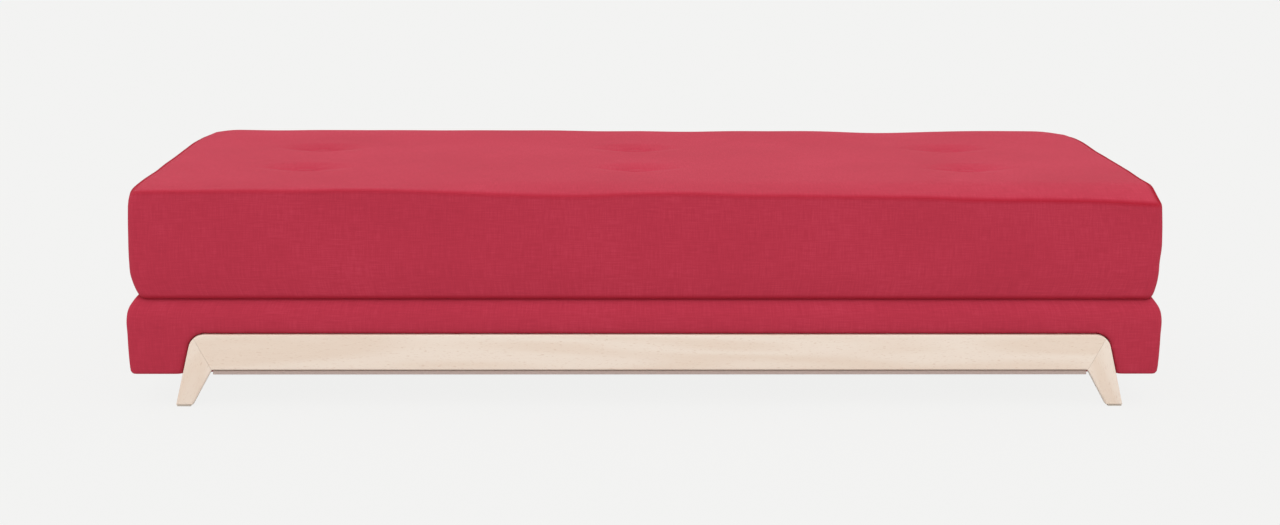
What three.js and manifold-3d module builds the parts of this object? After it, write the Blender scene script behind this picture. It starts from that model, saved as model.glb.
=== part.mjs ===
// A sofa bed for one that opens to a bed for two: a tufted mattress lies on an upholstered base of the
// same height, which stands on a splayed wooden leg frame at the front and another at the back.
// A fabric band joins the two along the rear edge of the crease between them, so the mattress turns
// half round over that edge and lies on the floor behind the base, level with it.
// Millimetres, +Z up, +X along the length. The front faces -Y. The origin is on the floor, in the middle.

import * as THREE from "three";
import { mergeVertices } from "three/addons/utils/BufferGeometryUtils.js";
import Module from "manifold-3d";

const wasm = await Module();
wasm.setup();

// Clearances
const fitGap = 0.3;
const creaseGap = 0.6;
const overrun = 20;
const weldDistance = 0.001;

// Overall: the size of one sleeping surface, and how far the base stands out past it at each end
const bedLength = 2000;
const bedDepth = 900;
const baseStandOut = 8;

// Base: upholstery
const baseHeight = 152.7;
const baseClearance = 63.5;
const baseCornerRadius = 12;
const baseDrawIn = 20.5;
const coverWall = 3;
const endPadding = 22;
const topFoamThickness = 50;
const hemWidth = 56;
const dustCoverThickness = 1.2;
const dustCoverOverlap = 12;
const stripSetBack = 3;
const softCornerShare = 0.3;
const cornerStepAngle = 22.5;

// Base: leg frames
const woodProud = 2;
const frameThickness = 26;
const railHeight = 70;
const railSetUp = 9.5;
const legEndInset = 81;
const legFrameShift = 10;
const footWidth = 31.5;
const outerSplay = 13.5;
const innerSplay = 29;
const shoulderRadius = 31;
const shoulderSteps = 8;
const crotchRadius = 6;
const crotchSteps = 3;
const arrisRadius = 2.5;
const arrisSteps = 2;
const channelGap = 1;
const channelFlare = 8;
const glideThickness = 3;
const glideMargin = 2.5;
const tenonWidth = 24;
const tenonThickness = 9;
const tenonLength = 32;
const tenonSteps = 4;

// Base: box
const boardThickness = 22;
const cornerBlockSide = 44;
const cornerBlockHeight = 46;
const ledgerThickness = 18;
const ledgerHeight = 32;
const notchDepth = 12;
const slatCount = 11;
const slatWidth = 90;
const slatThickness = 8;
const slatCrown = 12;
const slatTaperShare = 0.12;
const slatSteps = 10;
const beamWidth = 34;
const beamHeight = 38;

// Base: bolts
const boltRadius = 4;
const boltBite = 17;
const boltHeadFlats = 13;
const boltHeadSides = 6;
const boltHeadHeight = 6;
const boltFlangeRadius = 9;
const boltFlangeThickness = 2;
const boltSpreadShare = 0.38;
const boltSides = 10;

// Mattress
const mattressThickness = 212;
const mattressCrown = 2.5;
const crownPowerX = 6;
const crownPowerY = 4;
const mattressCornerRadius = 16;
const mattressDrawIn = 19;
const mattressWall = 14;
const frontSag = 26;
const frontSagWidth = 54;
const frontSagCurve = 2.5;
const frontSagLineShares = [0.5, 1];
const topPadding = 6;
const bottomPadding = 11;

// Mattress: tufts
const tuftColumnShare = 0.34;
const tuftRowShare = 0.165;
const tuftShift = -14;
const tuftRadius = 95;
const tuftLineShares = [-0.9, -0.42, 0, 0.42, 0.9];
const tuftDepth = 14;
const buttonRadius = 20;
const buttonHeight = 8;
const buttonDomeShares = [
  [1, 0],
  [1, 0.35],
  [0.72, 0.82],
  [0.35, 0.98],
  [0, 1],
];
const backButtonHeight = 4;
const buttonSides = 12;
const tieRadius = 2;

// Mattress: zip in the right-hand end
const zipLength = 780;
const zipHeightAboveCrease = 38;
const zipTapeWidth = 20;
const zipTapeThickness = 1;
const zipChainWidth = 6;
const zipChainThickness = 2.4;
const placketDepth = 10;
const sliderLength = 13;
const sliderWidth = 10;
const sliderThickness = 1.6;
const pullLength = 24;
const pullWidth = 6;
const pullThickness = 1.4;
const pullSetBackShare = 0.25;

// Band that joins the mattress to the base
const bandLength = 1800;
const bandThickness = 1.2;
const bandReach = 44;

// Side profiles from the bottom rim to the top rim: share of the draw-in, share of the height
const baseProfileShares = [
  [0.29, 0],
  [0.2, 0.02],
  [0.09, 0.14],
  [0.03, 0.32],
  [0, 0.55],
  [0, 0.74],
  [0.1, 0.82],
  [0.34, 0.89],
  [0.66, 0.95],
  [1, 1],
];
const mattressProfileShares = [
  [1, 0],
  [0.71, 0.04],
  [0.43, 0.09],
  [0.2, 0.15],
  [0.06, 0.22],
  [0, 0.32],
  [0, 0.66],
  [0.06, 0.8],
  [0.13, 0.93],
  [0.22, 1],
];

// Places worked out from the sizes
const mattressLength = bedLength;
const baseLength = bedLength + 2 * baseStandOut;
const baseTop = baseClearance + baseHeight;
const mattressBottom = baseTop + creaseGap;
const rearPlane = bedDepth / 2;
const frameFaceY = rearPlane + woodProud;
const railBottom = baseClearance + railSetUp;
const railTop = railBottom + railHeight;
const railMiddle = (railBottom + railTop) / 2;
const legBottom = glideThickness + fitGap;
const footHalfSpan = baseLength / 2 - legEndInset;
const boxHalfDepth = frameFaceY - frameThickness - coverWall - 2 * fitGap;
const boxHalfLength = baseLength / 2 - endPadding - coverWall - 2 * fitGap;
const boxBottom = baseClearance + coverWall + fitGap;
const foamTop = baseTop - coverWall - fitGap;
const boardTop = foamTop - topFoamThickness - fitGap;
const boardInnerY = boxHalfDepth - boardThickness;
const boardInnerX = boxHalfLength - boardThickness;
const slatSeat = boardTop - slatCrown - slatThickness;

// The leg frames are drawn about the middle and stand a little towards the right-hand end
const withLegFrames = (geometry) => geometry.translate(legFrameShift, 0, 0);

// Helpers: solids, joins and cuts
function solidOf(geometry) {
  const bare = geometry.index ? geometry.toNonIndexed() : geometry.clone();
  bare.deleteAttribute("normal");
  bare.deleteAttribute("uv");
  const merged = mergeVertices(bare, weldDistance);
  const mesh = new wasm.Mesh({
    numProp: 3,
    vertProperties: merged.attributes.position.array,
    triVerts: new Uint32Array(merged.index.array),
  });
  return new wasm.Manifold(mesh);
}

function geometryOf(solid) {
  const mesh = solid.getMesh();
  const geometry = new THREE.BufferGeometry();
  geometry.setAttribute("position", new THREE.BufferAttribute(mesh.vertProperties, 3));
  geometry.setIndex(new THREE.BufferAttribute(mesh.triVerts, 1));
  geometry.computeVertexNormals();
  return geometry;
}

function cut(geometry, ...tools) {
  return geometryOf(tools.reduce((left, tool) => left.subtract(solidOf(tool)), solidOf(geometry)));
}

function join(geometry, ...others) {
  return geometryOf(others.reduce((all, other) => all.add(solidOf(other)), solidOf(geometry)));
}

function common(geometry, other) {
  return geometryOf(solidOf(geometry).intersect(solidOf(other)));
}

// A box given by its lowest and highest corners
function boxBetween(low, high) {
  const size = high.map((value, axis) => value - low[axis]);
  const middle = high.map((value, axis) => (value + low[axis]) / 2);
  return new THREE.BoxGeometry(...size).translate(...middle);
}

// A cylinder along Y between two depths
function rodAlongY(radius, x, lowY, highY, z, sides) {
  const rod = new THREE.CylinderGeometry(radius, radius, highY - lowY, sides);
  return rod.translate(x, (lowY + highY) / 2, z);
}

// A cylinder along Z between two heights
function rodAlongZ(radius, x, y, lowZ, highZ, sides) {
  const rod = new THREE.CylinderGeometry(radius, radius, highZ - lowZ, sides);
  return rod.rotateX(Math.PI / 2).translate(x, y, (lowZ + highZ) / 2);
}

// An outline drawn in X and Z, extruded along Y between two depths
function extrudeAlongY(shape, lowY, highY, arris = 0) {
  const plate = new THREE.ExtrudeGeometry(shape, {
    depth: highY - lowY - 2 * arris,
    bevelEnabled: arris > 0,
    bevelThickness: arris,
    bevelSize: arris,
    bevelOffset: -arris,
    bevelSegments: arrisSteps,
  });
  return plate.rotateX(Math.PI / 2).translate(0, highY - arris, 0);
}

// An outline drawn in Y and Z, extruded along X between two places
function extrudeAlongX(shape, lowX, highX) {
  const plate = new THREE.ExtrudeGeometry(shape, { depth: highX - lowX, bevelEnabled: false });
  return plate.rotateX(Math.PI / 2).rotateZ(Math.PI / 2).translate(lowX, 0, 0);
}

// The points of an outline whose corners are [x, y, radius, steps]
function roundedOutline(corners) {
  const points = [];
  corners.forEach(([x, y, radius = 0, steps = 0], index) => {
    const corner = new THREE.Vector2(x, y);
    const before = corners[(index + corners.length - 1) % corners.length];
    const after = corners[(index + 1) % corners.length];
    const back = new THREE.Vector2(before[0], before[1]).sub(corner).normalize();
    const forth = new THREE.Vector2(after[0], after[1]).sub(corner).normalize();
    const halfAngle = Math.acos(THREE.MathUtils.clamp(back.dot(forth), -1, 1)) / 2;
    if (radius === 0) {
      points.push(corner);
      return;
    }
    const reach = radius / Math.tan(halfAngle);
    const start = corner.clone().addScaledVector(back, reach);
    const end = corner.clone().addScaledVector(forth, reach);
    const bisector = back.clone().add(forth).normalize();
    const centre = corner.clone().addScaledVector(bisector, radius / Math.sin(halfAngle));
    const from = start.clone().sub(centre);
    const sweep = Math.atan2(from.cross(end.clone().sub(centre)), from.dot(end.clone().sub(centre)));
    for (let step = 0; step <= steps; step += 1) {
      points.push(from.clone().rotateAround(new THREE.Vector2(), (sweep * step) / steps).add(centre));
    }
  });
  return points;
}

// Soft form: a box with rounded upright corners whose sides follow a profile from rim to rim.
// The top can be a grid, whose lines pass through the marks, and whose height is given by a function.
function gridLines(half, radius, marks) {
  const arcShare = Math.tan(THREE.MathUtils.degToRad(cornerStepAngle));
  const edge = [half, half - radius * (1 - arcShare), half - radius];
  const inner = marks.filter((mark) => Math.abs(mark) < half - radius);
  return [...edge.map((line) => -line), ...inner, ...edge.reverse()];
}

function onRoundedCorner(x, y, halfX, halfY, radius) {
  const innerX = THREE.MathUtils.clamp(x, radius - halfX, halfX - radius);
  const innerY = THREE.MathUtils.clamp(y, radius - halfY, halfY - radius);
  const out = new THREE.Vector2(x - innerX, y - innerY);
  if (out.x !== 0 && out.y !== 0) out.setLength(radius);
  return [innerX + out.x, innerY + out.y];
}

function softForm({ halfX, halfY, low, high, radius, drawIn, shares, marksX = [], marksY = [], ...form }) {
  const { offset = 0, rise = () => 0, sink = () => 0 } = form;
  const middle = (low + high) / 2;
  const shrink = (high - low - 2 * offset) / (high - low);
  const ring = ([inset, share]) => {
    const hx = halfX - offset - inset * drawIn;
    const hy = halfY - offset - inset * drawIn;
    const r = Math.max(radius - offset - inset * drawIn, radius * softCornerShare);
    const xs = gridLines(hx, r, marksX);
    const ys = gridLines(hy, r, marksY);
    const z = middle + (low + share * (high - low) - middle) * shrink;
    const round = [];
    for (let i = 0; i < xs.length - 1; i += 1) round.push([xs[i], -hy]);
    for (let j = 0; j < ys.length - 1; j += 1) round.push([hx, ys[j]]);
    for (let i = xs.length - 1; i > 0; i -= 1) round.push([xs[i], hy]);
    for (let j = ys.length - 1; j > 0; j -= 1) round.push([-hx, ys[j]]);
    const points = round.map(([x, y]) => {
      const [px, py] = onRoundedCorner(x, y, hx, hy, r);
      return [px, py, z - sink(px, py) * share];
    });
    return { points, xs, ys, z };
  };
  const rings = shares.map(ring);
  const count = rings[0].points.length;
  const vertices = rings.flatMap((one) => one.points);
  const faces = [];
  for (let level = 0; level < rings.length - 1; level += 1) {
    for (let k = 0; k < count; k += 1) {
      const a = level * count + k;
      const b = level * count + ((k + 1) % count);
      faces.push([a, b, b + count], [a, b + count, a + count]);
    }
  }
  const bottomMiddle = vertices.push([0, 0, rings[0].z]) - 1;
  for (let k = 0; k < count; k += 1) faces.push([bottomMiddle, (k + 1) % count, k]);

  // The top face joins the last ring: its rim is that ring, and its inside follows the grid
  const top = rings[rings.length - 1];
  const first = (rings.length - 1) * count;
  const across = top.xs.length - 1;
  const along = top.ys.length - 1;
  const grid = top.ys.map((y, j) =>
    top.xs.map((x, i) => {
      if (j === 0) return first + i;
      if (i === across) return first + across + j;
      if (j === along) return first + across + along + (across - i);
      if (i === 0) return first + 2 * across + along + (along - j);
      return vertices.push([x, y, top.z - sink(x, y) + rise(x, y)]) - 1;
    }),
  );
  grid[0][0] = first;
  for (let j = 0; j < along; j += 1) {
    for (let i = 0; i < across; i += 1) {
      const [a, b] = [grid[j][i], grid[j][i + 1]];
      const [d, c] = [grid[j + 1][i], grid[j + 1][i + 1]];
      faces.push([a, b, c], [a, c, d]);
    }
  }
  const geometry = new THREE.BufferGeometry();
  geometry.setAttribute("position", new THREE.Float32BufferAttribute(vertices.flat(), 3));
  geometry.setIndex(faces.flat());
  return geometry;
}

// The depth of a soft side below its widest place, at a share of the height
function drawnInAt(shares, drawIn, share) {
  const above = Math.max(1, shares.findIndex(([, height]) => height >= share));
  const [[insetLow, low], [insetHigh, high]] = [shares[above - 1], shares[above]];
  return drawIn * THREE.MathUtils.mapLinear(share, low, high, insetLow, insetHigh);
}

// Materials
const materials = {
  fabric: new THREE.MeshStandardMaterial({ color: "#c03e52", roughness: 0.92 }),
  wood: new THREE.MeshStandardMaterial({ color: "#e6d5c4", roughness: 0.5 }),
  boxWood: new THREE.MeshStandardMaterial({ color: "#d8bd92", roughness: 0.7 }),
  slatWood: new THREE.MeshStandardMaterial({ color: "#dcc09a", roughness: 0.5 }),
  foam: new THREE.MeshStandardMaterial({ color: "#e9e2cf", roughness: 0.95 }),
  dustCloth: new THREE.MeshStandardMaterial({ color: "#b5a29a", roughness: 0.95 }),
  felt: new THREE.MeshStandardMaterial({ color: "#d3c9bd", roughness: 0.95 }),
  steel: new THREE.MeshStandardMaterial({ color: "#b4b6ba", roughness: 0.35, metalness: 1 }),
  zip: new THREE.MeshStandardMaterial({ color: "#8f2a3b", roughness: 0.6 }),
};

const sofaBed = new THREE.Group();
const base = new THREE.Group();
const mattress = new THREE.Group();
sofaBed.add(base, mattress);

function addPiece(group, name, geometry, material) {
  const piece = new THREE.Mesh(geometry, material);
  piece.name = name;
  group.add(piece);
  return piece;
}

// Leg frames: a rail between two splayed legs, cut from one profile and mitred at the shoulders
const outerTan = Math.tan(THREE.MathUtils.degToRad(outerSplay));
const innerTan = Math.tan(THREE.MathUtils.degToRad(innerSplay));
const outerCos = Math.cos(THREE.MathUtils.degToRad(outerSplay));
const innerCos = Math.cos(THREE.MathUtils.degToRad(innerSplay));
const legOuterX = (z) => footHalfSpan - outerTan * z;
const legInnerX = (z) => footHalfSpan - footWidth - innerTan * z;

function frameOutline(grow, bottom) {
  const top = railTop + grow;
  const under = railBottom - grow;
  const outerAt = (z) => legOuterX(z) + grow / outerCos;
  const innerAt = (z) => legInnerX(z) - grow / innerCos;
  const inner = Math.max(crotchRadius - grow, 0);
  const half = [
    [innerAt(under), under, inner, crotchSteps],
    [innerAt(bottom), bottom],
    [outerAt(bottom), bottom],
    [outerAt(top), top, shoulderRadius + grow, shoulderSteps],
  ];
  const otherHalf = half.map(([x, z, ...rest]) => [-x, z, ...rest]).reverse();
  return new THREE.Shape(roundedOutline([...half, ...otherHalf]));
}

// The mitre runs from the crotch to the shoulder, and the tenon crosses it at right angles
const crotch = new THREE.Vector2(legInnerX(railBottom), railBottom);
const shoulder = new THREE.Vector2(legOuterX(railTop), railTop);
const mitreMiddle = crotch.clone().add(shoulder).divideScalar(2);
const mitreAngle = Math.atan2(shoulder.y - crotch.y, shoulder.x - crotch.x);

function mitreX(z, shift) {
  return mitreMiddle.x + (z - mitreMiddle.y) / Math.tan(mitreAngle) + shift / Math.sin(mitreAngle);
}

function railRegion(shift, lowY, highY) {
  const [low, high] = [railBottom - overrun, railTop + overrun];
  const corners = [
    [-mitreX(low, shift), low],
    [mitreX(low, shift), low],
    [mitreX(high, shift), high],
    [-mitreX(high, shift), high],
  ];
  const region = extrudeAlongY(new THREE.Shape(roundedOutline(corners)), lowY - overrun, highY + overrun);
  return withLegFrames(region);
}

function tenon(side, lowY, highY, gap) {
  const half = [tenonLength / 2 + gap, tenonWidth / 2 + gap];
  const radius = tenonThickness / 2;
  const corners = [
    [-half[0], -half[1], radius, tenonSteps],
    [half[0], -half[1], radius, tenonSteps],
    [half[0], half[1], radius, tenonSteps],
    [-half[0], half[1], radius, tenonSteps],
  ];
  const middleY = (lowY + highY) / 2;
  const reach = tenonThickness / 2 + gap;
  const block = extrudeAlongY(new THREE.Shape(roundedOutline(corners)), -reach, reach);
  block.rotateY(-side * (mitreAngle - Math.PI / 2));
  return withLegFrames(block.translate(side * mitreMiddle.x, middleY, mitreMiddle.y));
}

const boltPlaces = [-1, 0, 1].map((step) => legFrameShift + step * boltSpreadShare * 2 * footHalfSpan);

function boltHoles(lowY, highY, radius) {
  return boltPlaces.map((x) => rodAlongY(radius, x, lowY, highY, railMiddle, boltSides));
}

function addLegFrame(place, side) {
  const [lowY, highY] = [side * frameFaceY, side * (frameFaceY - frameThickness)].sort((a, b) => a - b);
  const insideY = side * (frameFaceY - frameThickness);
  const biteY = insideY + side * (boltBite + fitGap);
  const [holeLow, holeHigh] = [insideY - side * overrun, biteY].sort((a, b) => a - b);
  const whole = withLegFrames(extrudeAlongY(frameOutline(0, legBottom), lowY, highY, arrisRadius));
  const mortises = [-1, 1].map((end) => tenon(end, lowY, highY, fitGap));
  const holes = boltHoles(holeLow, holeHigh, boltRadius + fitGap);
  const rail = common(whole, railRegion(-fitGap / 2, lowY, highY));
  addPiece(base, place + "_rail", cut(rail, ...mortises, ...holes), materials.wood);

  const legs = cut(whole, railRegion(fitGap / 2, lowY, highY));
  for (const [name, end] of [["left", -1], ["right", 1]]) {
    const outerX = end * (footHalfSpan + overrun);
    const [lowX, highX] = [0, outerX].sort((a, b) => a - b);
    const half = boxBetween([lowX, lowY - overrun, 0], [highX, highY + overrun, railTop + overrun]);
    const leg = cut(common(legs, withLegFrames(half)), ...mortises);
    addPiece(base, place + "_" + name + "_leg", leg, materials.wood);
    addPiece(base, place + "_" + name + "_tenon", tenon(end, lowY, highY, 0), materials.boxWood);

    const [glideIn, glideOut] = [legInnerX(0) + glideMargin, legOuterX(0) - glideMargin];
    const [glideLow, glideHigh] = [end * glideIn, end * glideOut].sort((a, b) => a - b);
    const glideFrom = [glideLow, lowY + glideMargin, 0];
    const glideTo = [glideHigh, highY - glideMargin, glideThickness];
    const glide = withLegFrames(boxBetween(glideFrom, glideTo));
    addPiece(base, place + "_" + name + "_glide", glide, materials.felt);
  }
}

// Flange bolts from inside the box into the rail
function addBolts(place, side) {
  const faceY = boardInnerY - fitGap;
  const tipY = frameFaceY - frameThickness + boltBite;
  boltPlaces.forEach((x, index) => {
    const profile = [
      [0, faceY - boltFlangeThickness],
      [boltFlangeRadius, faceY - boltFlangeThickness],
      [boltFlangeRadius, faceY],
      [boltRadius, faceY],
      [boltRadius, tipY - boltRadius / 2],
      [boltRadius / 2, tipY],
      [0, tipY],
    ].map(([radius, y]) => new THREE.Vector2(radius, y));
    const headRadius = boltHeadFlats / Math.sqrt(3);
    const headHeight = boltHeadHeight + boltFlangeThickness;
    const head = new THREE.CylinderGeometry(headRadius, headRadius, headHeight, boltHeadSides);
    head.translate(0, faceY - boltFlangeThickness / 2 - headHeight / 2, 0);
    const bolt = join(new THREE.LatheGeometry(profile, boltSides), head);
    if (side < 0) bolt.rotateX(Math.PI);
    bolt.translate(x, 0, railMiddle);
    addPiece(base, place + "_bolt_" + (index + 1), bolt, materials.steel);
  });
}

// The channel that each leg frame sits in, with a flared mouth where the padding rolls over the wood
function frameChannel(side, grow) {
  const inside = side * (frameFaceY - frameThickness - fitGap - grow);
  const outside = side * (frameFaceY + overrun);
  const [lowY, highY] = [inside, outside].sort((a, b) => a - b);
  return withLegFrames(extrudeAlongY(frameOutline(channelGap + grow, baseClearance - overrun), lowY, highY));
}

function channelMouth(side, grow) {
  const shape = frameOutline(channelGap + grow, baseClearance - overrun);
  const mouth = new THREE.ExtrudeGeometry(shape, {
    depth: overrun,
    bevelEnabled: true,
    bevelThickness: channelFlare,
    bevelSize: channelFlare,
    bevelSegments: arrisSteps,
  });
  mouth.rotateX(Math.PI / 2);
  if (side > 0) mouth.rotateZ(Math.PI);
  return withLegFrames(mouth.translate(0, side * (rearPlane - grow), 0));
}

// Base upholstery
function baseForm(offset) {
  return softForm({
    halfX: baseLength / 2,
    halfY: bedDepth / 2,
    low: baseClearance,
    high: baseTop,
    radius: baseCornerRadius,
    drawIn: baseDrawIn,
    shares: baseProfileShares,
    offset,
  });
}

function insetBox(inset, low, high) {
  const [halfX, halfY] = [baseLength / 2 - inset, bedDepth / 2 - inset];
  return boxBetween([-halfX, -halfY, low], [halfX, halfY, high]);
}

function boxVolume(gap) {
  const [halfX, halfY] = [boxHalfLength + gap, boxHalfDepth + gap];
  return boxBetween([-halfX, -halfY, baseClearance - overrun], [halfX, halfY, baseTop + overrun]);
}

// The space under a rail, where the cover stops at the wood and the dust cover's edge shows
function underRail(side, grow) {
  const halfX = legInnerX(baseClearance) + grow;
  const inside = side * (frameFaceY - frameThickness - fitGap - grow);
  const outside = side * (frameFaceY + overrun);
  const [lowY, highY] = [inside, outside].sort((a, b) => a - b);
  return withLegFrames(boxBetween([-halfX, lowY, baseClearance - overrun], [halfX, highY, railMiddle]));
}

// The dust cover, carried out under each rail and folded up over a strip there
function dustCover() {
  const sheetTop = baseClearance - fitGap;
  const sheetBottom = sheetTop - dustCoverThickness;
  const sheet = insetBox(hemWidth - dustCoverOverlap, sheetBottom, sheetTop);
  const halfX = legInnerX(railBottom) - 2 * channelGap;
  const outerY = rearPlane - stripSetBack;
  const innerY = frameFaceY - frameThickness;
  const strips = [-1, 1].flatMap((side) => {
    const [tongueLow, tongueHigh] = [side * outerY, side * boardInnerY].sort((a, b) => a - b);
    const [stripLow, stripHigh] = [side * outerY, side * innerY].sort((a, b) => a - b);
    return [
      boxBetween([-halfX, tongueLow, sheetBottom], [halfX, tongueHigh, sheetTop]),
      boxBetween([-halfX, stripLow, sheetBottom], [halfX, stripHigh, railBottom - channelGap]),
    ].map(withLegFrames);
  });
  return join(sheet, ...strips);
}

function addBaseUpholstery() {
  const sides = [-1, 1];
  const channels = (grow) => sides.flatMap((side) => [frameChannel(side, grow), channelMouth(side, grow)]);
  const outside = cut(baseForm(0), ...channels(0));
  const inside = cut(baseForm(coverWall), ...channels(coverWall));
  const opening = insetBox(hemWidth, baseClearance - overrun, baseClearance + coverWall + overrun);
  const holeReach = frameFaceY + overrun;
  const holes = boltHoles(-holeReach, holeReach, boltRadius + fitGap);
  const cover = cut(outside, inside, opening, ...holes, ...sides.map((side) => underRail(side, 0)));
  addPiece(base, "base_cover", cover, materials.fabric);

  const paddingGap = coverWall + fitGap;
  const underRails = sides.map((side) => underRail(side, paddingGap));
  const padding = cut(baseForm(paddingGap), ...channels(paddingGap), ...underRails, boxVolume(fitGap));
  addPiece(base, "base_edge_padding", padding, materials.foam);

  const foamLow = [-boxHalfLength, -boxHalfDepth, boardTop + fitGap];
  const foam = common(baseForm(paddingGap), boxBetween(foamLow, [boxHalfLength, boxHalfDepth, foamTop]));
  addPiece(base, "base_top_foam", foam, materials.foam);

  addPiece(base, "base_dust_cover", dustCover(), materials.dustCloth);
}

// Box of boards, with corner blocks, a centre beam housed in the end boards, and bowed slats
function addBox() {
  for (const [place, side] of [["front", -1], ["rear", 1]]) {
    const [lowY, highY] = [side * boardInnerY, side * boxHalfDepth].sort((a, b) => a - b);
    const board = boxBetween([-boxHalfLength, lowY, boxBottom], [boxHalfLength, highY, boardTop]);
    const holes = boltHoles(lowY - overrun, highY + overrun, boltRadius + fitGap);
    addPiece(base, place + "_board", cut(board, ...holes), materials.boxWood);
  }

  const beamTop = slatSeat + slatCrown - fitGap;
  const beamHalf = beamWidth / 2;
  const endHalfY = boardInnerY - fitGap;
  for (const [place, side] of [["left", -1], ["right", 1]]) {
    const [lowX, highX] = [side * boardInnerX, side * boxHalfLength].sort((a, b) => a - b);
    const board = boxBetween([lowX, -endHalfY, boxBottom], [highX, endHalfY, boardTop]);
    const housingLow = [lowX - overrun, -beamHalf - fitGap, beamTop - beamHeight - fitGap];
    const housing = boxBetween(housingLow, [highX + overrun, beamHalf + fitGap, boardTop + overrun]);
    addPiece(base, place + "_board", cut(board, housing), materials.boxWood);
  }
  const beamEnd = boxHalfLength - fitGap;
  const beam = boxBetween([-beamEnd, -beamHalf, beamTop - beamHeight], [beamEnd, beamHalf, beamTop]);
  addPiece(base, "centre_beam", beam, materials.boxWood);

  for (const [place, sideX, sideY] of [
    ["front_left", -1, -1],
    ["front_right", 1, -1],
    ["rear_left", -1, 1],
    ["rear_right", 1, 1],
  ]) {
    const cornerX = sideX * (boardInnerX - fitGap);
    const cornerY = sideY * (boardInnerY - fitGap);
    const triangle = [
      [cornerX, cornerY],
      [cornerX - sideX * cornerBlockSide, cornerY],
      [cornerX, cornerY - sideY * cornerBlockSide],
    ];
    if (sideX * sideY < 0) triangle.reverse();
    const outline = new THREE.Shape(triangle.map(([x, y]) => new THREE.Vector2(x, y)));
    const block = new THREE.ExtrudeGeometry(outline, { depth: cornerBlockHeight, bevelEnabled: false });
    block.translate(0, 0, boxBottom);
    addPiece(base, place + "_corner_block", block, materials.boxWood);
  }
}

const slatPitch = (2 * boardInnerX) / slatCount;
const slatPlaces = Array.from({ length: slatCount }, (_, index) => (index - (slatCount - 1) / 2) * slatPitch);

// A ledger along each long board, with a notch for every slat end
function addLedgers() {
  const top = slatSeat - fitGap + notchDepth;
  const bottom = top - ledgerHeight;
  const end = boardInnerX - fitGap;
  const notchHalf = slatWidth / 2 + fitGap;
  const floor = slatSeat - fitGap;
  const teeth = slatPlaces.flatMap((x) => [
    [x - notchHalf, top],
    [x - notchHalf, floor],
    [x + notchHalf, floor],
    [x + notchHalf, top],
  ]);
  const corners = [[-end, bottom], [end, bottom], [end, top], ...teeth.reverse(), [-end, top]];
  const outline = new THREE.Shape(corners.map(([x, z]) => new THREE.Vector2(x, z)));
  for (const [place, side] of [["front", -1], ["rear", 1]]) {
    const outer = side * (boardInnerY - fitGap);
    const [lowY, highY] = [outer, outer - side * ledgerThickness].sort((a, b) => a - b);
    addPiece(base, place + "_slat_ledger", extrudeAlongY(outline, lowY, highY), materials.boxWood);
  }
}

// Bowed slats: an arc of even thickness that thins a little towards its ends
function addSlats() {
  const half = boardInnerY - 2 * fitGap;
  const places = Array.from({ length: slatSteps + 1 }, (_, step) => half * ((2 * step) / slatSteps - 1));
  const bow = (y) => slatSeat + slatCrown * (1 - (y / half) ** 2);
  const thickness = (y) => slatThickness * (1 - slatTaperShare * (y / half) ** 2);
  const under = places.map((y) => new THREE.Vector2(y, bow(y)));
  const over = places.map((y) => new THREE.Vector2(y, bow(y) + thickness(y))).reverse();
  const outline = new THREE.Shape([...under, ...over]);
  slatPlaces.forEach((x, index) => {
    const slat = extrudeAlongX(outline, x - slatWidth / 2, x + slatWidth / 2);
    addPiece(base, "slat_" + String(index + 1).padStart(2, "0"), slat, materials.slatWood);
  });
}

// Mattress: a cover with a crowned, tufted top, over a plain core
const tuftPlaces = [-1, 1].flatMap((row) =>
  [-1, 0, 1].map((column) => [
    tuftShift + column * tuftColumnShare * mattressLength,
    row * tuftRowShare * bedDepth,
  ]),
);
const rimHeight = mattressThickness - mattressCrown;
const mattressRim = mattressBottom + rimHeight;

function tuftMarks(places) {
  const distinct = [...new Set(places)].sort((a, b) => a - b);
  return distinct.flatMap((place) => tuftLineShares.map((share) => place + share * tuftRadius));
}

// The top rises from its rim to the crown and dips at each tuft
function mattressRise(x, y) {
  const crownX = 1 - Math.abs((2 * x) / mattressLength) ** crownPowerX;
  const crownY = 1 - Math.abs((2 * y) / bedDepth) ** crownPowerY;
  const dips = tuftPlaces.map(([tuftX, tuftY]) => {
    const share = Math.min(1, Math.hypot(x - tuftX, y - tuftY) / tuftRadius);
    return tuftDepth * (1 - share ** 2) ** 2;
  });
  return mattressCrown * crownX * crownY - Math.max(...dips);
}

// The front edge rounds over lower and lower towards the right-hand end, and takes its seam with it
function mattressSag(x, y) {
  const alongX = THREE.MathUtils.clamp(x / mattressLength + 1 / 2, 0, 1) ** frontSagCurve;
  const alongY = THREE.MathUtils.smoothstep(-y, bedDepth / 2 - frontSagWidth, bedDepth / 2);
  return frontSag * alongX * alongY;
}

function mattressForm(offset, marksX, marksY, rise, sink) {
  return softForm({
    halfX: mattressLength / 2,
    halfY: bedDepth / 2,
    low: mattressBottom,
    high: mattressRim,
    radius: mattressCornerRadius,
    drawIn: mattressDrawIn,
    shares: mattressProfileShares,
    marksX,
    marksY,
    offset,
    rise,
    sink,
  });
}

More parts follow.
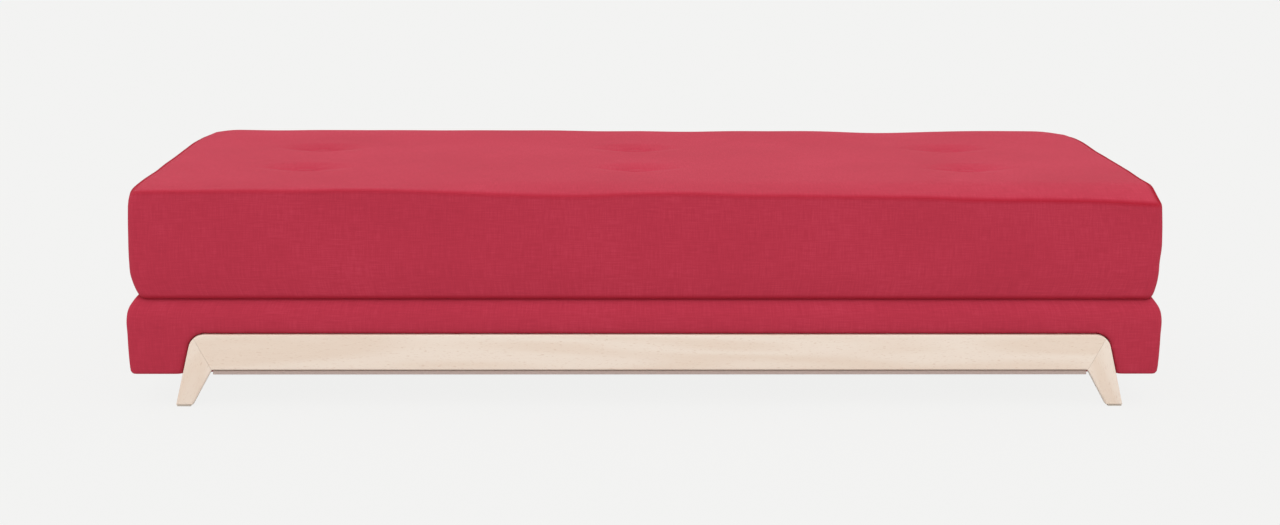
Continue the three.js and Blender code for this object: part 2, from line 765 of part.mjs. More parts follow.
function addMattress() {
  const marksX = tuftMarks(tuftPlaces.map(([x]) => x));
  const sagMarks = frontSagLineShares.map((share) => share * frontSagWidth - bedDepth / 2);
  const marksY = [...tuftMarks(tuftPlaces.map(([, y]) => y)), ...sagMarks, 0].sort((a, b) => a - b);
  const outside = mattressForm(0, marksX, marksY, mattressRise, mattressSag);
  const coreLow = mattressBottom + bottomPadding;
  const coreHigh = mattressRim - frontSag - topPadding;
  const coreSpace = (gap) => {
    const level = [
      [-mattressLength, -bedDepth, coreLow - gap],
      [mattressLength, bedDepth, coreHigh + gap],
    ];
    return common(mattressForm(mattressWall - gap, [], []), boxBetween(...level));
  };
  const tieHoles = tuftPlaces.map(([x, y]) =>
    rodAlongZ(tieRadius + fitGap, x, y, mattressBottom - overrun, mattressRim + overrun, buttonSides),
  );
  const seats = tuftPlaces.flatMap(([x, y]) => {
    const seatTop = mattressRim + mattressRise(x, y) - mattressSag(x, y) - fitGap;
    const backDepth = mattressBottom + backButtonHeight + 2 * fitGap;
    return [
      rodAlongZ(buttonRadius + fitGap, x, y, seatTop, mattressRim + overrun, buttonSides),
      rodAlongZ(buttonRadius + fitGap, x, y, mattressBottom - overrun, backDepth, buttonSides),
    ];
  });
  const placket = boxBetween(
    [mattressLength / 2 - placketDepth, -zipLength / 2 - fitGap, zipMiddleZ - zipTapeWidth / 2 - fitGap],
    [mattressLength / 2 + overrun, zipLength / 2 + fitGap, zipMiddleZ + zipTapeWidth / 2 + fitGap],
  );
  const cover = cut(outside, coreSpace(fitGap), ...tieHoles, ...seats, placket);
  addPiece(mattress, "mattress_cover", cover, materials.fabric);
  addPiece(mattress, "mattress_core", cut(coreSpace(0), ...tieHoles), materials.foam);

  // Each tie is a cord between a covered button on top and a flat button underneath
  tuftPlaces.forEach(([x, y], index) => {
    const backTop = mattressBottom + backButtonHeight + fitGap;
    const seat = mattressRim + mattressRise(x, y) - mattressSag(x, y);
    const profile = [
      [0, backTop - backButtonHeight],
      [buttonRadius, backTop - backButtonHeight],
      [buttonRadius, backTop],
      [tieRadius, backTop],
      [tieRadius, seat],
      ...buttonDomeShares.map(([across, up]) => [across * buttonRadius, seat + up * buttonHeight]),
    ].map(([radius, z]) => new THREE.Vector2(radius, z));
    const tie = new THREE.LatheGeometry(profile, buttonSides).rotateX(Math.PI / 2);
    tie.translate(x, y, 0);
    addPiece(mattress, "button_tie_" + (index + 1), tie, materials.fabric);
  });
}

// Zip: a tape with a raised chain, in a placket along the right-hand end, and its slider
const zipMiddleZ = mattressBottom + zipHeightAboveCrease;
const tapeInX = mattressLength / 2 - placketDepth + fitGap;
const chainOutX = tapeInX + zipTapeThickness + zipChainThickness;

function addZip() {
  const half = zipLength / 2;
  const tape = boxBetween(
    [tapeInX, -half, zipMiddleZ - zipTapeWidth / 2],
    [tapeInX + zipTapeThickness, half, zipMiddleZ + zipTapeWidth / 2],
  );
  const chain = boxBetween(
    [tapeInX, -half, zipMiddleZ - zipChainWidth / 2],
    [chainOutX, half, zipMiddleZ + zipChainWidth / 2],
  );
  addPiece(mattress, "mattress_zip", join(tape, chain), materials.zip);

  // The slider straddles the chain, and its pull hangs from a bridge on its back
  const startY = -half + sliderLength;
  const backX = chainOutX + fitGap;
  const body = boxBetween(
    [tapeInX + zipTapeThickness + fitGap, startY - sliderLength / 2, zipMiddleZ - sliderWidth / 2],
    [backX + sliderThickness, startY + sliderLength / 2, zipMiddleZ + sliderWidth / 2],
  );
  const groove = boxBetween(
    [tapeInX, startY - sliderLength, zipMiddleZ - zipChainWidth / 2 - fitGap],
    [backX, startY + sliderLength, zipMiddleZ + zipChainWidth / 2 + fitGap],
  );
  const pullY = startY - pullSetBackShare * sliderLength;
  const pull = boxBetween(
    [backX + sliderThickness / 2, pullY, zipMiddleZ - pullWidth / 2],
    [backX + sliderThickness + pullThickness, pullY + pullLength, zipMiddleZ + pullWidth / 2],
  );
  addPiece(mattress, "zip_slider", join(cut(body, groove), pull), materials.steel);
}

// The band's two halves are each sewn to a rear face and hang taut from there to the hinge line
function addBand() {
  const baseSewnAt = drawnInAt(baseProfileShares, baseDrawIn, 1 - bandReach / baseHeight);
  const mattressSewnAt = drawnInAt(mattressProfileShares, mattressDrawIn, bandReach / rimHeight);
  for (const [group, name, seam, end, sewnAt] of [
    [base, "base_band", baseTop, baseTop - bandReach, baseSewnAt],
    [mattress, "mattress_band", mattressBottom, mattressBottom + bandReach, mattressSewnAt],
  ]) {
    const innerY = rearPlane + fitGap;
    const section = [
      [innerY, seam],
      [innerY + bandThickness, seam],
      [innerY - sewnAt + bandThickness, end],
      [innerY - sewnAt, end],
    ].map(([y, z]) => new THREE.Vector2(y, z));
    if (THREE.ShapeUtils.area(section) < 0) section.reverse();
    const band = extrudeAlongX(new THREE.Shape(section), -bandLength / 2, bandLength / 2);
    addPiece(group, name, band, materials.fabric);
  }
}

addBaseUpholstery();
addBox();
addLedgers();
addSlats();
addLegFrame("front", -1);
addLegFrame("rear", 1);
addBolts("front", -1);
addBolts("rear", 1);
addMattress();
addZip();
addBand();

export default sofaBed;
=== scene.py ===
# %% [markdown]
# # A sofa bed for its portrait
# The solid parts of this sofa bed come from its CAD model: wooden leg frames, a box with slats, a
# tufted mattress, and the joints that move them. This notebook gives them their cloth, their finish
# and their light. Lengths are metres, +X runs along the bed, the front faces -Y, and the floor is at
# zero.
#
# The first cell loads the CAD model as a fixed frame. Every later piece takes its place from that
# frame, so nothing has to be lined up by eye.

import math

import bpy
import numpy as np
from mathutils import Matrix, Vector, kdtree, noise


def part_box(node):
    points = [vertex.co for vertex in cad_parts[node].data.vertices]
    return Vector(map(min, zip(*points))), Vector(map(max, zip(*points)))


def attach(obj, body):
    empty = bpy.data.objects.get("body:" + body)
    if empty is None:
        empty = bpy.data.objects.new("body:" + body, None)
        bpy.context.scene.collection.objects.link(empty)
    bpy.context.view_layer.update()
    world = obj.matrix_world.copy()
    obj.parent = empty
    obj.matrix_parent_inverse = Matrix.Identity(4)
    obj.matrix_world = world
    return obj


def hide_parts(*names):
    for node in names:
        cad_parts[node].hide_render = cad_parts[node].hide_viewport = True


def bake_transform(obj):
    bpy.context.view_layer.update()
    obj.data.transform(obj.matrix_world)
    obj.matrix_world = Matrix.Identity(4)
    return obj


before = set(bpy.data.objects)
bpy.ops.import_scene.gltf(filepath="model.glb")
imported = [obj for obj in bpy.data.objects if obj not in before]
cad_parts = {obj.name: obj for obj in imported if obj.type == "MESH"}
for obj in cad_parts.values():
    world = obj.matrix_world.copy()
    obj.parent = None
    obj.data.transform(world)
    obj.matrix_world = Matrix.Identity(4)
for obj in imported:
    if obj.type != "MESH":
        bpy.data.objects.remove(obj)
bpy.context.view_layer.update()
MM = 0.001

# %% [markdown]
# ## The camera
# The picture was taken from a little above the bed, almost square to its front, with a long lens. The
# values here were fitted to points of the photograph whose real places are known, such as the feet and
# the corners of the mattress, so the vanishing lines of the render fall where the camera saw them.
# Turning about Z, then tipping down, then rolling are the three movements of a tripod head.

# %% Camera
CAMERA_PLACE = (-0.0909, -4.7095, 1.0812)
CAMERA_TURN, CAMERA_TIP, CAMERA_ROLL = (math.radians(a) for a in (1.051, 10.573, 0.230))
LENS, SENSOR_WIDTH = 63.03, 36

camera = bpy.data.objects.new("camera", bpy.data.cameras.new("camera"))
bpy.context.scene.collection.objects.link(camera)
camera.data.lens = LENS
camera.data.sensor_width = SENSOR_WIDTH
camera.data.sensor_fit = "HORIZONTAL"
camera.matrix_world = (
    Matrix.Translation(CAMERA_PLACE)
    @ Matrix.Rotation(-CAMERA_TURN, 4, "Z")
    @ Matrix.Rotation(math.pi / 2 - CAMERA_TIP, 4, "X")
    @ Matrix.Rotation(CAMERA_ROLL, 4, "Z")
)
bpy.context.scene.camera = camera
print("the camera stands", round(-CAMERA_PLACE[1], 2), "metres in front of the bed")

# %% [markdown]
# ## Colours and nodes
# Colours are picked from a screen, so they are sRGB hex values, while Blender's shaders add light in
# linear values. One function turns one into the other. A second adds a shader node with its settings
# and its links, so that a material reads from top to bottom like a recipe.

# %% Helpers for colours and nodes
def linear(hex_colour):
    """An sRGB hex colour as the linear RGBA that the shaders use."""
    parts = [int(hex_colour[i : i + 2], 16) / 255 for i in (1, 3, 5)]
    return (*[c / 12.92 if c <= 0.04045 else ((c + 0.055) / 1.055) ** 2.4 for c in parts], 1.0)


def node(tree, kind, inputs=None, **settings):
    """A shader node of this kind. An input is a plain value, a socket, or a node's first output."""
    made = tree.nodes.new("ShaderNode" + kind)
    for name, value in settings.items():
        setattr(made, name, value)
    for name, value in (inputs or {}).items():
        source = value.outputs[0] if isinstance(value, bpy.types.Node) else value
        if isinstance(source, bpy.types.NodeSocket):
            tree.links.new(source, made.inputs[name])
        else:
            made.inputs[name].default_value = source
    return made


def new_material(name):
    """An empty material and its node tree."""
    material = bpy.data.materials.new(name)
    material.use_nodes = True
    material.node_tree.nodes.clear()
    return material, material.node_tree


print("middle grey on a screen is", round(linear("#808080")[0], 3), "in linear light")

# %% [markdown]
# ## Light and floor
# A studio product shot has light from everywhere and a little more from above. A pale world gives the
# even part, and one very broad sun gives the extra on top, with a soft shadow and no hot spot. A sun
# lights near and far floor alike, so the floor keeps one tone up to the top of the picture. The level
# is plain: a colour renders about as it is written.
#
# The photograph was cut out against nearly white, and only a trace of a shadow is left under the bed.
# So for the camera most of the floor's tone is given directly, and the rest is a lit, matt floor that
# still takes the shadow. Light Path's glossy and transmission rays see the same tone as the camera.

# %% Light and floor
BACKGROUND = "#f3f3f2"
FLOOR_SHADE = "#dddddc"
PLAIN_FLOOR_SHARE = 0.955
FLOOR_REACH = 40
SKY_STRENGTH, SUN_STRENGTH = 0.8, 1.33
SUN_WIDTH, SUN_BACK, SUN_SIDE = (math.radians(a) for a in (100, 16, -3))


def seen_directly(tree):
    """1 for what the camera sees, also in a mirror or through glass, and 0 for light."""
    path = node(tree, "LightPath").outputs
    seen = path["Is Camera Ray"]
    for ray in ("Is Glossy Ray", "Is Transmission Ray"):
        seen = node(tree, "Math", {0: seen, 1: path[ray]}, operation="MAXIMUM")
    return seen


world = bpy.data.worlds.new("pale studio")
bpy.context.scene.world = world
world.use_nodes = True
tree = world.node_tree
tree.nodes.clear()
sky_light = node(tree, "Background", {"Color": (1, 1, 1, 1), "Strength": SKY_STRENGTH})
sky_seen = node(tree, "Background", {"Color": linear(BACKGROUND), "Strength": 1.0})
sky = node(tree, "MixShader", {0: seen_directly(tree), 1: sky_light, 2: sky_seen})
node(tree, "OutputWorld", {"Surface": sky})

sun = bpy.data.objects.new("broad sun", bpy.data.lights.new("broad sun", "SUN"))
bpy.context.scene.collection.objects.link(sun)
sun.data.energy = SUN_STRENGTH
sun.data.angle = SUN_WIDTH
sun.rotation_euler = (SUN_BACK, SUN_SIDE, 0)

floor_mesh = bpy.data.meshes.new("floor")
floor_corners = [(-1, -1), (1, -1), (1, 1), (-1, 1)]
floor_points = [(x * FLOOR_REACH, y * FLOOR_REACH, 0) for x, y in floor_corners]
floor_mesh.from_pydata(floor_points, [], [(0, 1, 2, 3)])
floor = bpy.data.objects.new("floor", floor_mesh)
bpy.context.scene.collection.objects.link(floor)

floor_paint, tree = new_material("matt studio floor")
lit_floor = node(tree, "BsdfDiffuse", {"Color": linear(FLOOR_SHADE)})
plain_floor = node(tree, "Emission", {"Color": linear(BACKGROUND), "Strength": 1.0})
share = node(tree, "Math", {0: seen_directly(tree), 1: PLAIN_FLOOR_SHARE}, operation="MULTIPLY")
mixed = node(tree, "MixShader", {0: share, 1: lit_floor, 2: plain_floor})
node(tree, "OutputMaterial", {"Surface": mixed})
floor.data.materials.append(floor_paint)
bpy.context.scene.view_settings.view_transform = "Standard"
print("light: one sun of", sun.data.energy, "and an even world")

# %% [markdown]
# ## Upholstery cloth
# The cover is a heavy plain-woven cloth, dyed red in the yarn. Close to, it shows threads that pass
# over and under each other. From a step away it shows slubs, short stretches where a yarn runs thicker
# and takes the dye darker, along both directions of the weave. Matt spun yarn scatters light softly
# and glances pale along its fuzz, which is a high roughness and some sheen.
#
# A pattern could be wrapped round the object in space, but cloth is cut flat and then sewn. So every
# sewn panel carries a map in metres of cloth, called "cloth", and the weave keeps its size on each side
# and turns at the seams. A real thread here is about 0.9 mm wide. It is drawn at 1.6 mm, because a
# finer one would disappear in the picture.

# %% Woven cloth
THREAD = 1.6 * MM
SLUB = (38 * MM, 2.2 * MM)
SHADE_PATCH = 260 * MM
SEAM_SHADE = 10 * MM
PUCKER, PUCKER_REACH, PUCKER_DEPTH = 9 * MM, 14 * MM, 1.2 * MM


def woven_cloth(name, seam_shade_colour, dark, base, light):
    """Plain-woven cloth in three close shades of one dye, and a deep red painted into its seams as
    shade.
    """
    material, tree = new_material(name)
    cloth = node(tree, "UVMap", uv_map="cloth")
    place = node(tree, "SeparateXYZ", {0: cloth})

    # Warp and weft are two rows of ridges, and a checker says which of them lies on top
    ridges = []
    for axis in ("X", "Y"):
        turns = {0: place.outputs[axis], 1: math.pi / THREAD}
        turned = node(tree, "Math", turns, operation="MULTIPLY")
        wave = node(tree, "Math", {0: turned}, operation="SINE")
        ridges.append(node(tree, "Math", {0: wave}, operation="ABSOLUTE"))
    over = node(tree, "TexChecker", {"Vector": cloth, "Scale": 1 / THREAD})
    weave = node(tree, "Mix", {0: over.outputs["Fac"], 2: ridges[0], 3: ridges[1]})

    # Slubs are noise drawn out along the warp, and again along the weft
    slubs = []
    for along, across in (SLUB, SLUB[::-1]):
        drawn = node(tree, "Mapping", {"Vector": cloth, "Scale": (1 / along, 1 / across, 1)})
        slubs.append(node(tree, "TexNoise", {"Vector": drawn, "Scale": 1.0, "Roughness": 0.6}))
    yarn = node(tree, "Mix", {0: 0.5, 2: slubs[0], 3: slubs[1]})
    patches = node(tree, "TexNoise", {"Vector": cloth, "Scale": 1 / SHADE_PATCH})
    dye = node(tree, "ValToRGB", {"Fac": node(tree, "Mix", {0: 0.25, 2: yarn, 3: patches})})
    shades = dye.color_ramp.elements
    shades[0].position, shades[0].color = 0.36, linear(dark)
    shades[1].position, shades[1].color = 0.64, linear(light)
    shades.new(0.5).color = linear(base)

    # The gaps between threads are darker than their crowns, a painted shade. Along a seam the colour
    # is mixed towards a deep red: painted shade for light that goes from fold to fold of the same
    # cloth, the more so the further the seam is drawn in
    # Painted shade: the colour is dimmed in the gaps between threads
    thread_gap_shade = node(tree, "MapRange", {"Value": weave, "To Min": 0.86, "To Max": 1.04})
    threads = node(tree, "Mix", {0: 1.0, 6: dye, 7: thread_gap_shade}, data_type="RGBA", blend_type="MULTIPLY")
    seam = node(tree, "Attribute", attribute_name="seam_distance").outputs["Fac"]
    drawn_in = node(tree, "Attribute", attribute_name="seam_depth").outputs["Fac"]
    fading = {"Value": seam, "From Min": 0, "To Max": 0.0}
    painted_groove_shade = node(tree, "MapRange", {**fading, "From Max": SEAM_SHADE, "To Min": drawn_in})
    near = node(tree, "MapRange", {**fading, "From Max": PUCKER_REACH, "To Min": 1.0})
    tints = {6: threads.outputs[2], 7: linear(seam_shade_colour)}
    colour = node(tree, "Mix", {0: painted_groove_shade, **tints}, data_type="RGBA")

    # Relief: threads and slubs everywhere, and small puckers where the stitches pull
    height = node(tree, "Math", {0: weave, 1: yarn}, operation="ADD")
    relief = node(tree, "Bump", {"Height": height, "Strength": 0.3, "Distance": 0.4 * MM})
    gathers = node(tree, "TexNoise", {"Vector": cloth, "Scale": 1 / PUCKER, "Detail": 1.0})
    puckers = node(tree, "Math", {0: near, 1: gathers}, operation="MULTIPLY")
    pulled = {"Height": puckers, "Normal": relief, "Strength": 0.5, "Distance": PUCKER_DEPTH}
    sheen = {"Sheen Weight": 0.04, "Sheen Roughness": 0.45, "Sheen Tint": linear("#ffe3e6")}
    bent = node(tree, "Bump", pulled)
    looks = {"Base Color": colour.outputs[2], "Normal": bent, "Roughness": 0.92}
    shader = node(tree, "BsdfPrincipled", {**looks, "Specular IOR Level": 0.12, **sheen})
    node(tree, "OutputMaterial", {"Surface": shader})
    return material


# The first colour is the deep red of the painted seam shade, the other three are the dye's own shades
SEAM_SHADE_AND_CLOTH_COLOURS = ("#a00c24", "#b03144", "#b83448", "#c13c51")
upholstery = woven_cloth("red plain-woven upholstery cloth", *SEAM_SHADE_AND_CLOTH_COLOURS)
print("cloth:", len(upholstery.node_tree.nodes), "nodes")

# %% [markdown]
# ## A boxed cushion
# A mattress cover is sewn from a top panel, a long boxing strip that runs round the four sides, and a
# bottom panel. A bevelled cube would have the outline, but no seams, and its cloth no direction. So the
# cover is built as it is cut. Each panel is a grid of its own cloth, the strip follows a side profile
# from rim to rim, and the panels meet at the seams. A square corner of the grid becomes a round one by
# pushing its points along their rays onto circles, which keeps the cells even.

# %% Boxed cushion
class Cushion:
    """Grid lines run from -half to +half. Levels are (inset, height) from the bottom rim to the top."""

    def __init__(self, half, corner, lines_x, lines_y, levels):
        self.half, self.corner, self.lines, self.levels = half, corner, (lines_x, lines_y), levels
        self.faces, self.cloth = [], []
        points = self.sew_sides()
        top, bottom = len(levels) - 1, 0
        self.top_panel = self.sew_panel(points, top, False)
        self.bottom_panel = self.sew_panel(points, bottom, True)
        self.points = np.array(points)
        self.seam = self.seam_distance()

    def outline_grid(self, inset):
        """The panel's grid of (x, y) where its outline is drawn in by inset."""
        x, y = np.meshgrid(*self.lines)
        past_x = np.maximum(np.abs(x) - self.half[0] + self.corner, 0)
        past_y = np.maximum(np.abs(y) - self.half[1] + self.corner, 0)
        reach = np.maximum(np.hypot(past_x, past_y), 1e-9)
        ray = np.where((past_x > 0) & (past_y > 0), np.maximum(past_x, past_y) / reach, 1)
        x = np.sign(x) * (np.abs(x) - past_x * (1 - ray)) * (1 - inset / self.half[0])
        y = np.sign(y) * (np.abs(y) - past_y * (1 - ray)) * (1 - inset / self.half[1])
        return np.stack([x, y], -1)

    @staticmethod
    def rim(grid):
        """The outline of a grid, anticlockwise from its first corner."""
        return np.concatenate([grid[0, :-1], grid[:-1, -1], grid[-1, :0:-1], grid[:0:-1, 0]])

    def sew_sides(self):
        """Lays the rings of the sides, fills the cells between them, and returns their points."""
        rings = [self.rim(self.outline_grid(inset)) for inset, _ in self.levels]
        self.ring = count = len(rings[0])
        flat = self.rim(self.outline_grid(0))
        around = np.cumsum([0, *np.linalg.norm(np.roll(flat, -1, 0) - flat, axis=1)])
        steps = [math.dist(a, b) for a, b in zip(self.levels, self.levels[1:])]
        self.climb = np.cumsum([0, *steps])
        for level in range(len(rings) - 1):
            for k in range(count):
                low, high, after = level * count, (level + 1) * count, (k + 1) % count
                self.faces.append((low + k, low + after, high + after, high + k))
                left, right = around[k], around[k + 1]
                base, top = self.climb[level], self.climb[level + 1]
                self.cloth += [(left, base), (right, base), (right, top), (left, top)]
        return [(x, y, z) for ring, (_, z) in zip(rings, self.levels) for x, y in ring]

    def sew_panel(self, points, level, face_down):
        """Fills one rim with its panel, and returns the grid of point numbers."""
        inset, height = self.levels[level]
        grid, flat = self.outline_grid(inset), self.outline_grid(0)
        index = np.full(grid.shape[:2], -1)
        inside = np.ones(index.shape, bool)
        inside[[0, -1]] = inside[:, [0, -1]] = False
        index[inside] = len(points) + np.arange(inside.sum())
        points += [(x, y, height) for x, y in grid[inside]]
        rows, columns = index.shape
        ring = level * self.ring + np.arange(self.ring)
        side_ends = np.cumsum([columns - 1, rows - 1, columns - 1, rows - 1])
        front, right, rear, left = np.split(ring, side_ends[:-1])
        index[0, :-1], index[:-1, -1], index[-1, :0:-1], index[:0:-1, 0] = front, right, rear, left
        for j in range(rows - 1):
            for i in range(columns - 1):
                cell = [(j, i), (j, i + 1), (j + 1, i + 1), (j + 1, i)]
                cell = cell[::-1] if face_down else cell
                self.faces.append(tuple(int(index[c]) for c in cell))
                self.cloth += [tuple(flat[c]) for c in cell]
        return index

    def seam_distance(self):
        """How far every point lies from the nearest seam, measured over the cloth."""
        x, y, _ = np.abs(self.points).T
        straight = np.minimum(self.half[0] - x, self.half[1] - y)
        past = np.hypot(x - self.half[0] + self.corner, y - self.half[1] + self.corner)
        in_corner = (x > self.half[0] - self.corner) & (y > self.half[1] - self.corner)
        distance = np.where(in_corner, self.corner - past, straight)
        sides = self.ring * len(self.levels)
        edge = np.minimum(self.climb, self.climb[-1] - self.climb)
        distance[:sides] = np.repeat(edge, self.ring)
        rims = np.concatenate([self.rim(self.top_panel), self.rim(self.bottom_panel)])
        distance[sides:] = np.maximum(distance[sides:] - distance[sides:].min(), 0)
        distance[rims] = 0
        return distance


# %% [markdown]
# Some helpers go with the cushion. Grid lines lie close together where cloth bends and further apart
# where it is plain, which keeps the mesh light. A profile is a few marks with a smooth curve through
# them, and seeded noise gives the slow waver of cloth. The last one turns points and faces into an
# object of the scene.

# %% Lines, pieces and curves
def grid_lines(half, step, edges, zones=(), fine=0.0):
    """Lines from -half to half: close at the edges, fine inside the zones, step apart elsewhere."""
    near = [half - e for e in edges]
    here, middle = -near[-1], []
    while here < near[-1] - step * 0.6:
        middle.append(here)
        in_zone = any(low - step < here < high for low, high in zones)
        here += fine if in_zone else step
    middle = np.array(middle)
    middle = (middle + near[-1]) * (2 * near[-1]) / (here + near[-1]) - near[-1]
    return np.array([-n for n in near[:-1]] + list(middle) + near[::-1])


def make_piece(name, points, faces, cloth=None, material=None, **marks):
    """A smooth-shaded mesh object, with its map of cloth and any marks its material reads."""
    mesh = bpy.data.meshes.new(name)
    mesh.from_pydata([tuple(p) for p in points], [], faces)
    mesh.polygons.foreach_set("use_smooth", np.ones(len(faces), bool))
    if cloth is not None:
        layer = mesh.uv_layers.new(name="cloth")
        layer.uv.foreach_set("vector", np.array(cloth, np.float32).ravel())
    for mark, values in marks.items():
        attribute = mesh.attributes.new(mark, "FLOAT", "POINT")
        attribute.data.foreach_set("value", np.array(values, np.float32))
    if material is not None:
        mesh.materials.append(material)
    piece = bpy.data.objects.new(name, mesh)
    bpy.context.scene.collection.objects.link(piece)
    return piece


def smooth_curve(marks, at):
    """A smooth curve through (place, value) marks, read at the given places."""
    places, values = np.array(marks).T
    slopes = np.gradient(values, places)
    at = np.clip(at, places[0], places[-1])
    k = np.clip(np.searchsorted(places, at) - 1, 0, len(places) - 2)
    width = places[k + 1] - places[k]
    t = (at - places[k]) / width
    start, end = values[k], values[k + 1]
    lift = (2 * t**3 - 3 * t**2 + 1) * start + (3 * t**2 - 2 * t**3) * end
    return lift + width * ((t**3 - 2 * t**2 + t) * slopes[k] + (t**3 - t**2) * slopes[k + 1])


def smoothstep(value, low, high):
    """A smooth rise from 0 at low to 1 at high."""
    t = np.clip((value - low) / (high - low), 0, 1)
    return t * t * (3 - 2 * t)


def waver(points, size, seed):
    """A slow, even wobble between -1 and 1, the same on every run."""
    return np.array([noise.noise(Vector(p) / size + Vector((seed, 0, 0))) for p in points])


print("a metre of cloth takes", len(grid_lines(0.5, 15 * MM, [0, 15 * MM])), "grid lines")

# %% [markdown]
# ## The mattress cover
# The mattress is firm foam, so its top is nearly flat, with a small crown. Six buttons are tied down
# through it in two rows. Where a button pulls, the cloth dips and gathers into soft folds that run out
# to the left and right. The lower edge is drawn well in, which opens the crease above the base. The
# front edge rounds over lower towards the right and takes the seam with it, as foam does where people
# get on and off.
#
# First the cover is cut: its lines lie close along the seams and round the buttons, where the cloth
# bends most, and further apart on the plain stretches.

# %% Cut the mattress cover
cover_low, cover_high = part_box("mattress_cover")
MATTRESS_HALF = (cover_high.x, cover_high.y)
MATTRESS_BOTTOM, MATTRESS_TOP = cover_low.z, cover_high.z
MATTRESS_CORNER = 16 * MM
CROWN = 2.5 * MM
SEAM_EDGES = [e * MM for e in (0, 3, 7, 11.5, 16, 24, 34, 46)]
MATTRESS_CELL, TUFT_CELL, TUFT_ZONE = 15 * MM, 7 * MM, 85 * MM
mattress_rim = MATTRESS_TOP - CROWN
mattress_height = mattress_rim - MATTRESS_BOTTOM
zip_low, zip_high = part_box("mattress_zip")
zip_middle = (zip_low.z + zip_high.z) / 2
tuft_boxes = [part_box(f"button_tie_{number}") for number in range(1, 7)]
tufts = [((low + high) / 2).xy for low, high in tuft_boxes]


def in_mm(marks):
    """Marks of (place, millimetres) as (place, metres)."""
    return [(place, size * MM) for place, size in marks]


def levels_at(shares, profile, bottom, height):
    """(inset, height) for the rows of a side that lie at these shares of its height."""
    insets = smooth_curve(profile, shares)
    return [(inset, bottom + share * height) for share, inset in zip(shares, insets)]


# Share of the height, and how far the side is drawn in there
LOWER_PROFILE = [(0, 19), (0.04, 13.5), (0.09, 8.2), (0.15, 4), (0.21, 1.3), (0.32, 0)]
UPPER_PROFILE = [(0.6, 0.1), (0.7, 0.5), (0.8, 1.2), (0.9, 2.2), (0.96, 3), (1, 4.2)]
MATTRESS_PROFILE = in_mm(LOWER_PROFILE + UPPER_PROFILE)
# Share of the height, and how much of that the long sides and the right-hand end are drawn in
LONG_SIDE_SHARE = [(0, 0.5), (0.02, 0.42), (0.05, 0.44), (0.15, 0.5), (0.5, 0.3), (1, 0.3)]
RIGHT_END_SHARE = [(0, 0.6), (0.2, 0.5), (0.5, 1), (1, 1)]
# Rows of the sides as shares of the height, close together at the zip and below the upper seam
ZIP_LINES = np.array([-14, -9.5, -7.8, -7, -3, 3, 7, 7.8, 9.5, 14]) * MM
ROW_CLEARANCE = 0.016
zip_marks = (zip_middle - MATTRESS_BOTTOM + ZIP_LINES) / mattress_height
low_marks = [m for m in np.linspace(0, 0.37, 12) if np.min(np.abs(zip_marks - m)) > ROW_CLEARANCE]
high_marks = [*np.linspace(0.43, 0.9, 9), 0.925, 0.945, 0.96, 0.975, 0.988, 1]
side_marks = np.array(sorted([*low_marks, *zip_marks, *high_marks]))
mattress_levels = levels_at(side_marks, MATTRESS_PROFILE, MATTRESS_BOTTOM, mattress_height)
mattress_lines = []
for axis in (0, 1):
    places = sorted({round(tuft[axis], 3) for tuft in tufts})
    zones = [(place - TUFT_ZONE, place + TUFT_ZONE) for place in places]
    lines = grid_lines(MATTRESS_HALF[axis], MATTRESS_CELL, SEAM_EDGES, zones, TUFT_CELL)
    mattress_lines.append(lines)
mattress = Cushion(MATTRESS_HALF, MATTRESS_CORNER, *mattress_lines, mattress_levels)
print("mattress cover:", len(mattress.faces), "cells")

# %% [markdown]
# Now the cover is shaped over its filling. Every part of the shape is a smooth function of where a
# point lies, so the crown, the dips, the folds and the rolled front edge can each be tuned by one size
# and don't disturb each other. First come the tufts.

# %% Dips and folds of the tufts
# A tuft's dip, the well of its button, and the dimple below on the underside
TUFT_REACH = (108 * MM, 74 * MM)
TUFT_DEPTH = 7 * MM
BUTTON_WELL = (36 * MM, 4.5 * MM)
UNDER_DIMPLE = (70 * MM, 6 * MM)
# The soft folds that run out from a button to both sides, and the ripples round it
FOLD_DEPTH, FOLD_WIDTH = 2.2 * MM, 9 * MM
FOLD_BEND, FOLD_SWING = 6 * MM, 30 * MM
FOLD_START = (10 * MM, 34 * MM)
FOLD_SHARE, RIPPLE_SHARE = 1.6, 0.45
RIPPLES, RIPPLE_START = 9, (0.1, 0.3)


def tuft_depth(x, y):
    """How far the top lies below its crown: a dip, a well for each button, and folds out from it."""
    down = np.zeros_like(x)
    for tuft_x, tuft_y in tufts:
        across, along = x - tuft_x, y - tuft_y
        reach = np.hypot(across / TUFT_REACH[0], along / TUFT_REACH[1])
        dip = TUFT_DEPTH * np.clip(1 - reach**2, 0, 1) ** 2
        from_button = np.hypot(across, along) / BUTTON_WELL[0]
        dip += BUTTON_WELL[1] * np.clip(1 - from_button**2, 0, 1) ** 2
        bend = along - FOLD_BEND * np.cos(across / FOLD_SWING)
        fold = np.exp(-((bend / FOLD_WIDTH) ** 2)) * np.clip(1 - reach, 0, 1)
        fold *= smoothstep(np.abs(across), *FOLD_START)
        ripples = 1 - np.cos(RIPPLES * np.arctan2(along, across))
        ripples *= smoothstep(reach, *RIPPLE_START)
        ripples *= np.clip(1 - reach, 0, 1) ** 2
        down = np.maximum(down, dip + FOLD_DEPTH * (FOLD_SHARE * fold + RIPPLE_SHARE * ripples))
    return down


def under_dimple(x, y):
    """The underside is a plain panel, with a shallow dimple at each tie's flat button."""
    rise = np.zeros_like(x)
    reach, depth = UNDER_DIMPLE
    for tuft_x, tuft_y in tufts:
        near = np.clip(1 - ((x - tuft_x) ** 2 + (y - tuft_y) ** 2) / reach**2, 0, 1)
        rise = np.maximum(rise, depth * near**2)
    return rise


print("each tuft is", round((TUFT_DEPTH + BUTTON_WELL[1]) / MM, 1), "mm deep at its button")

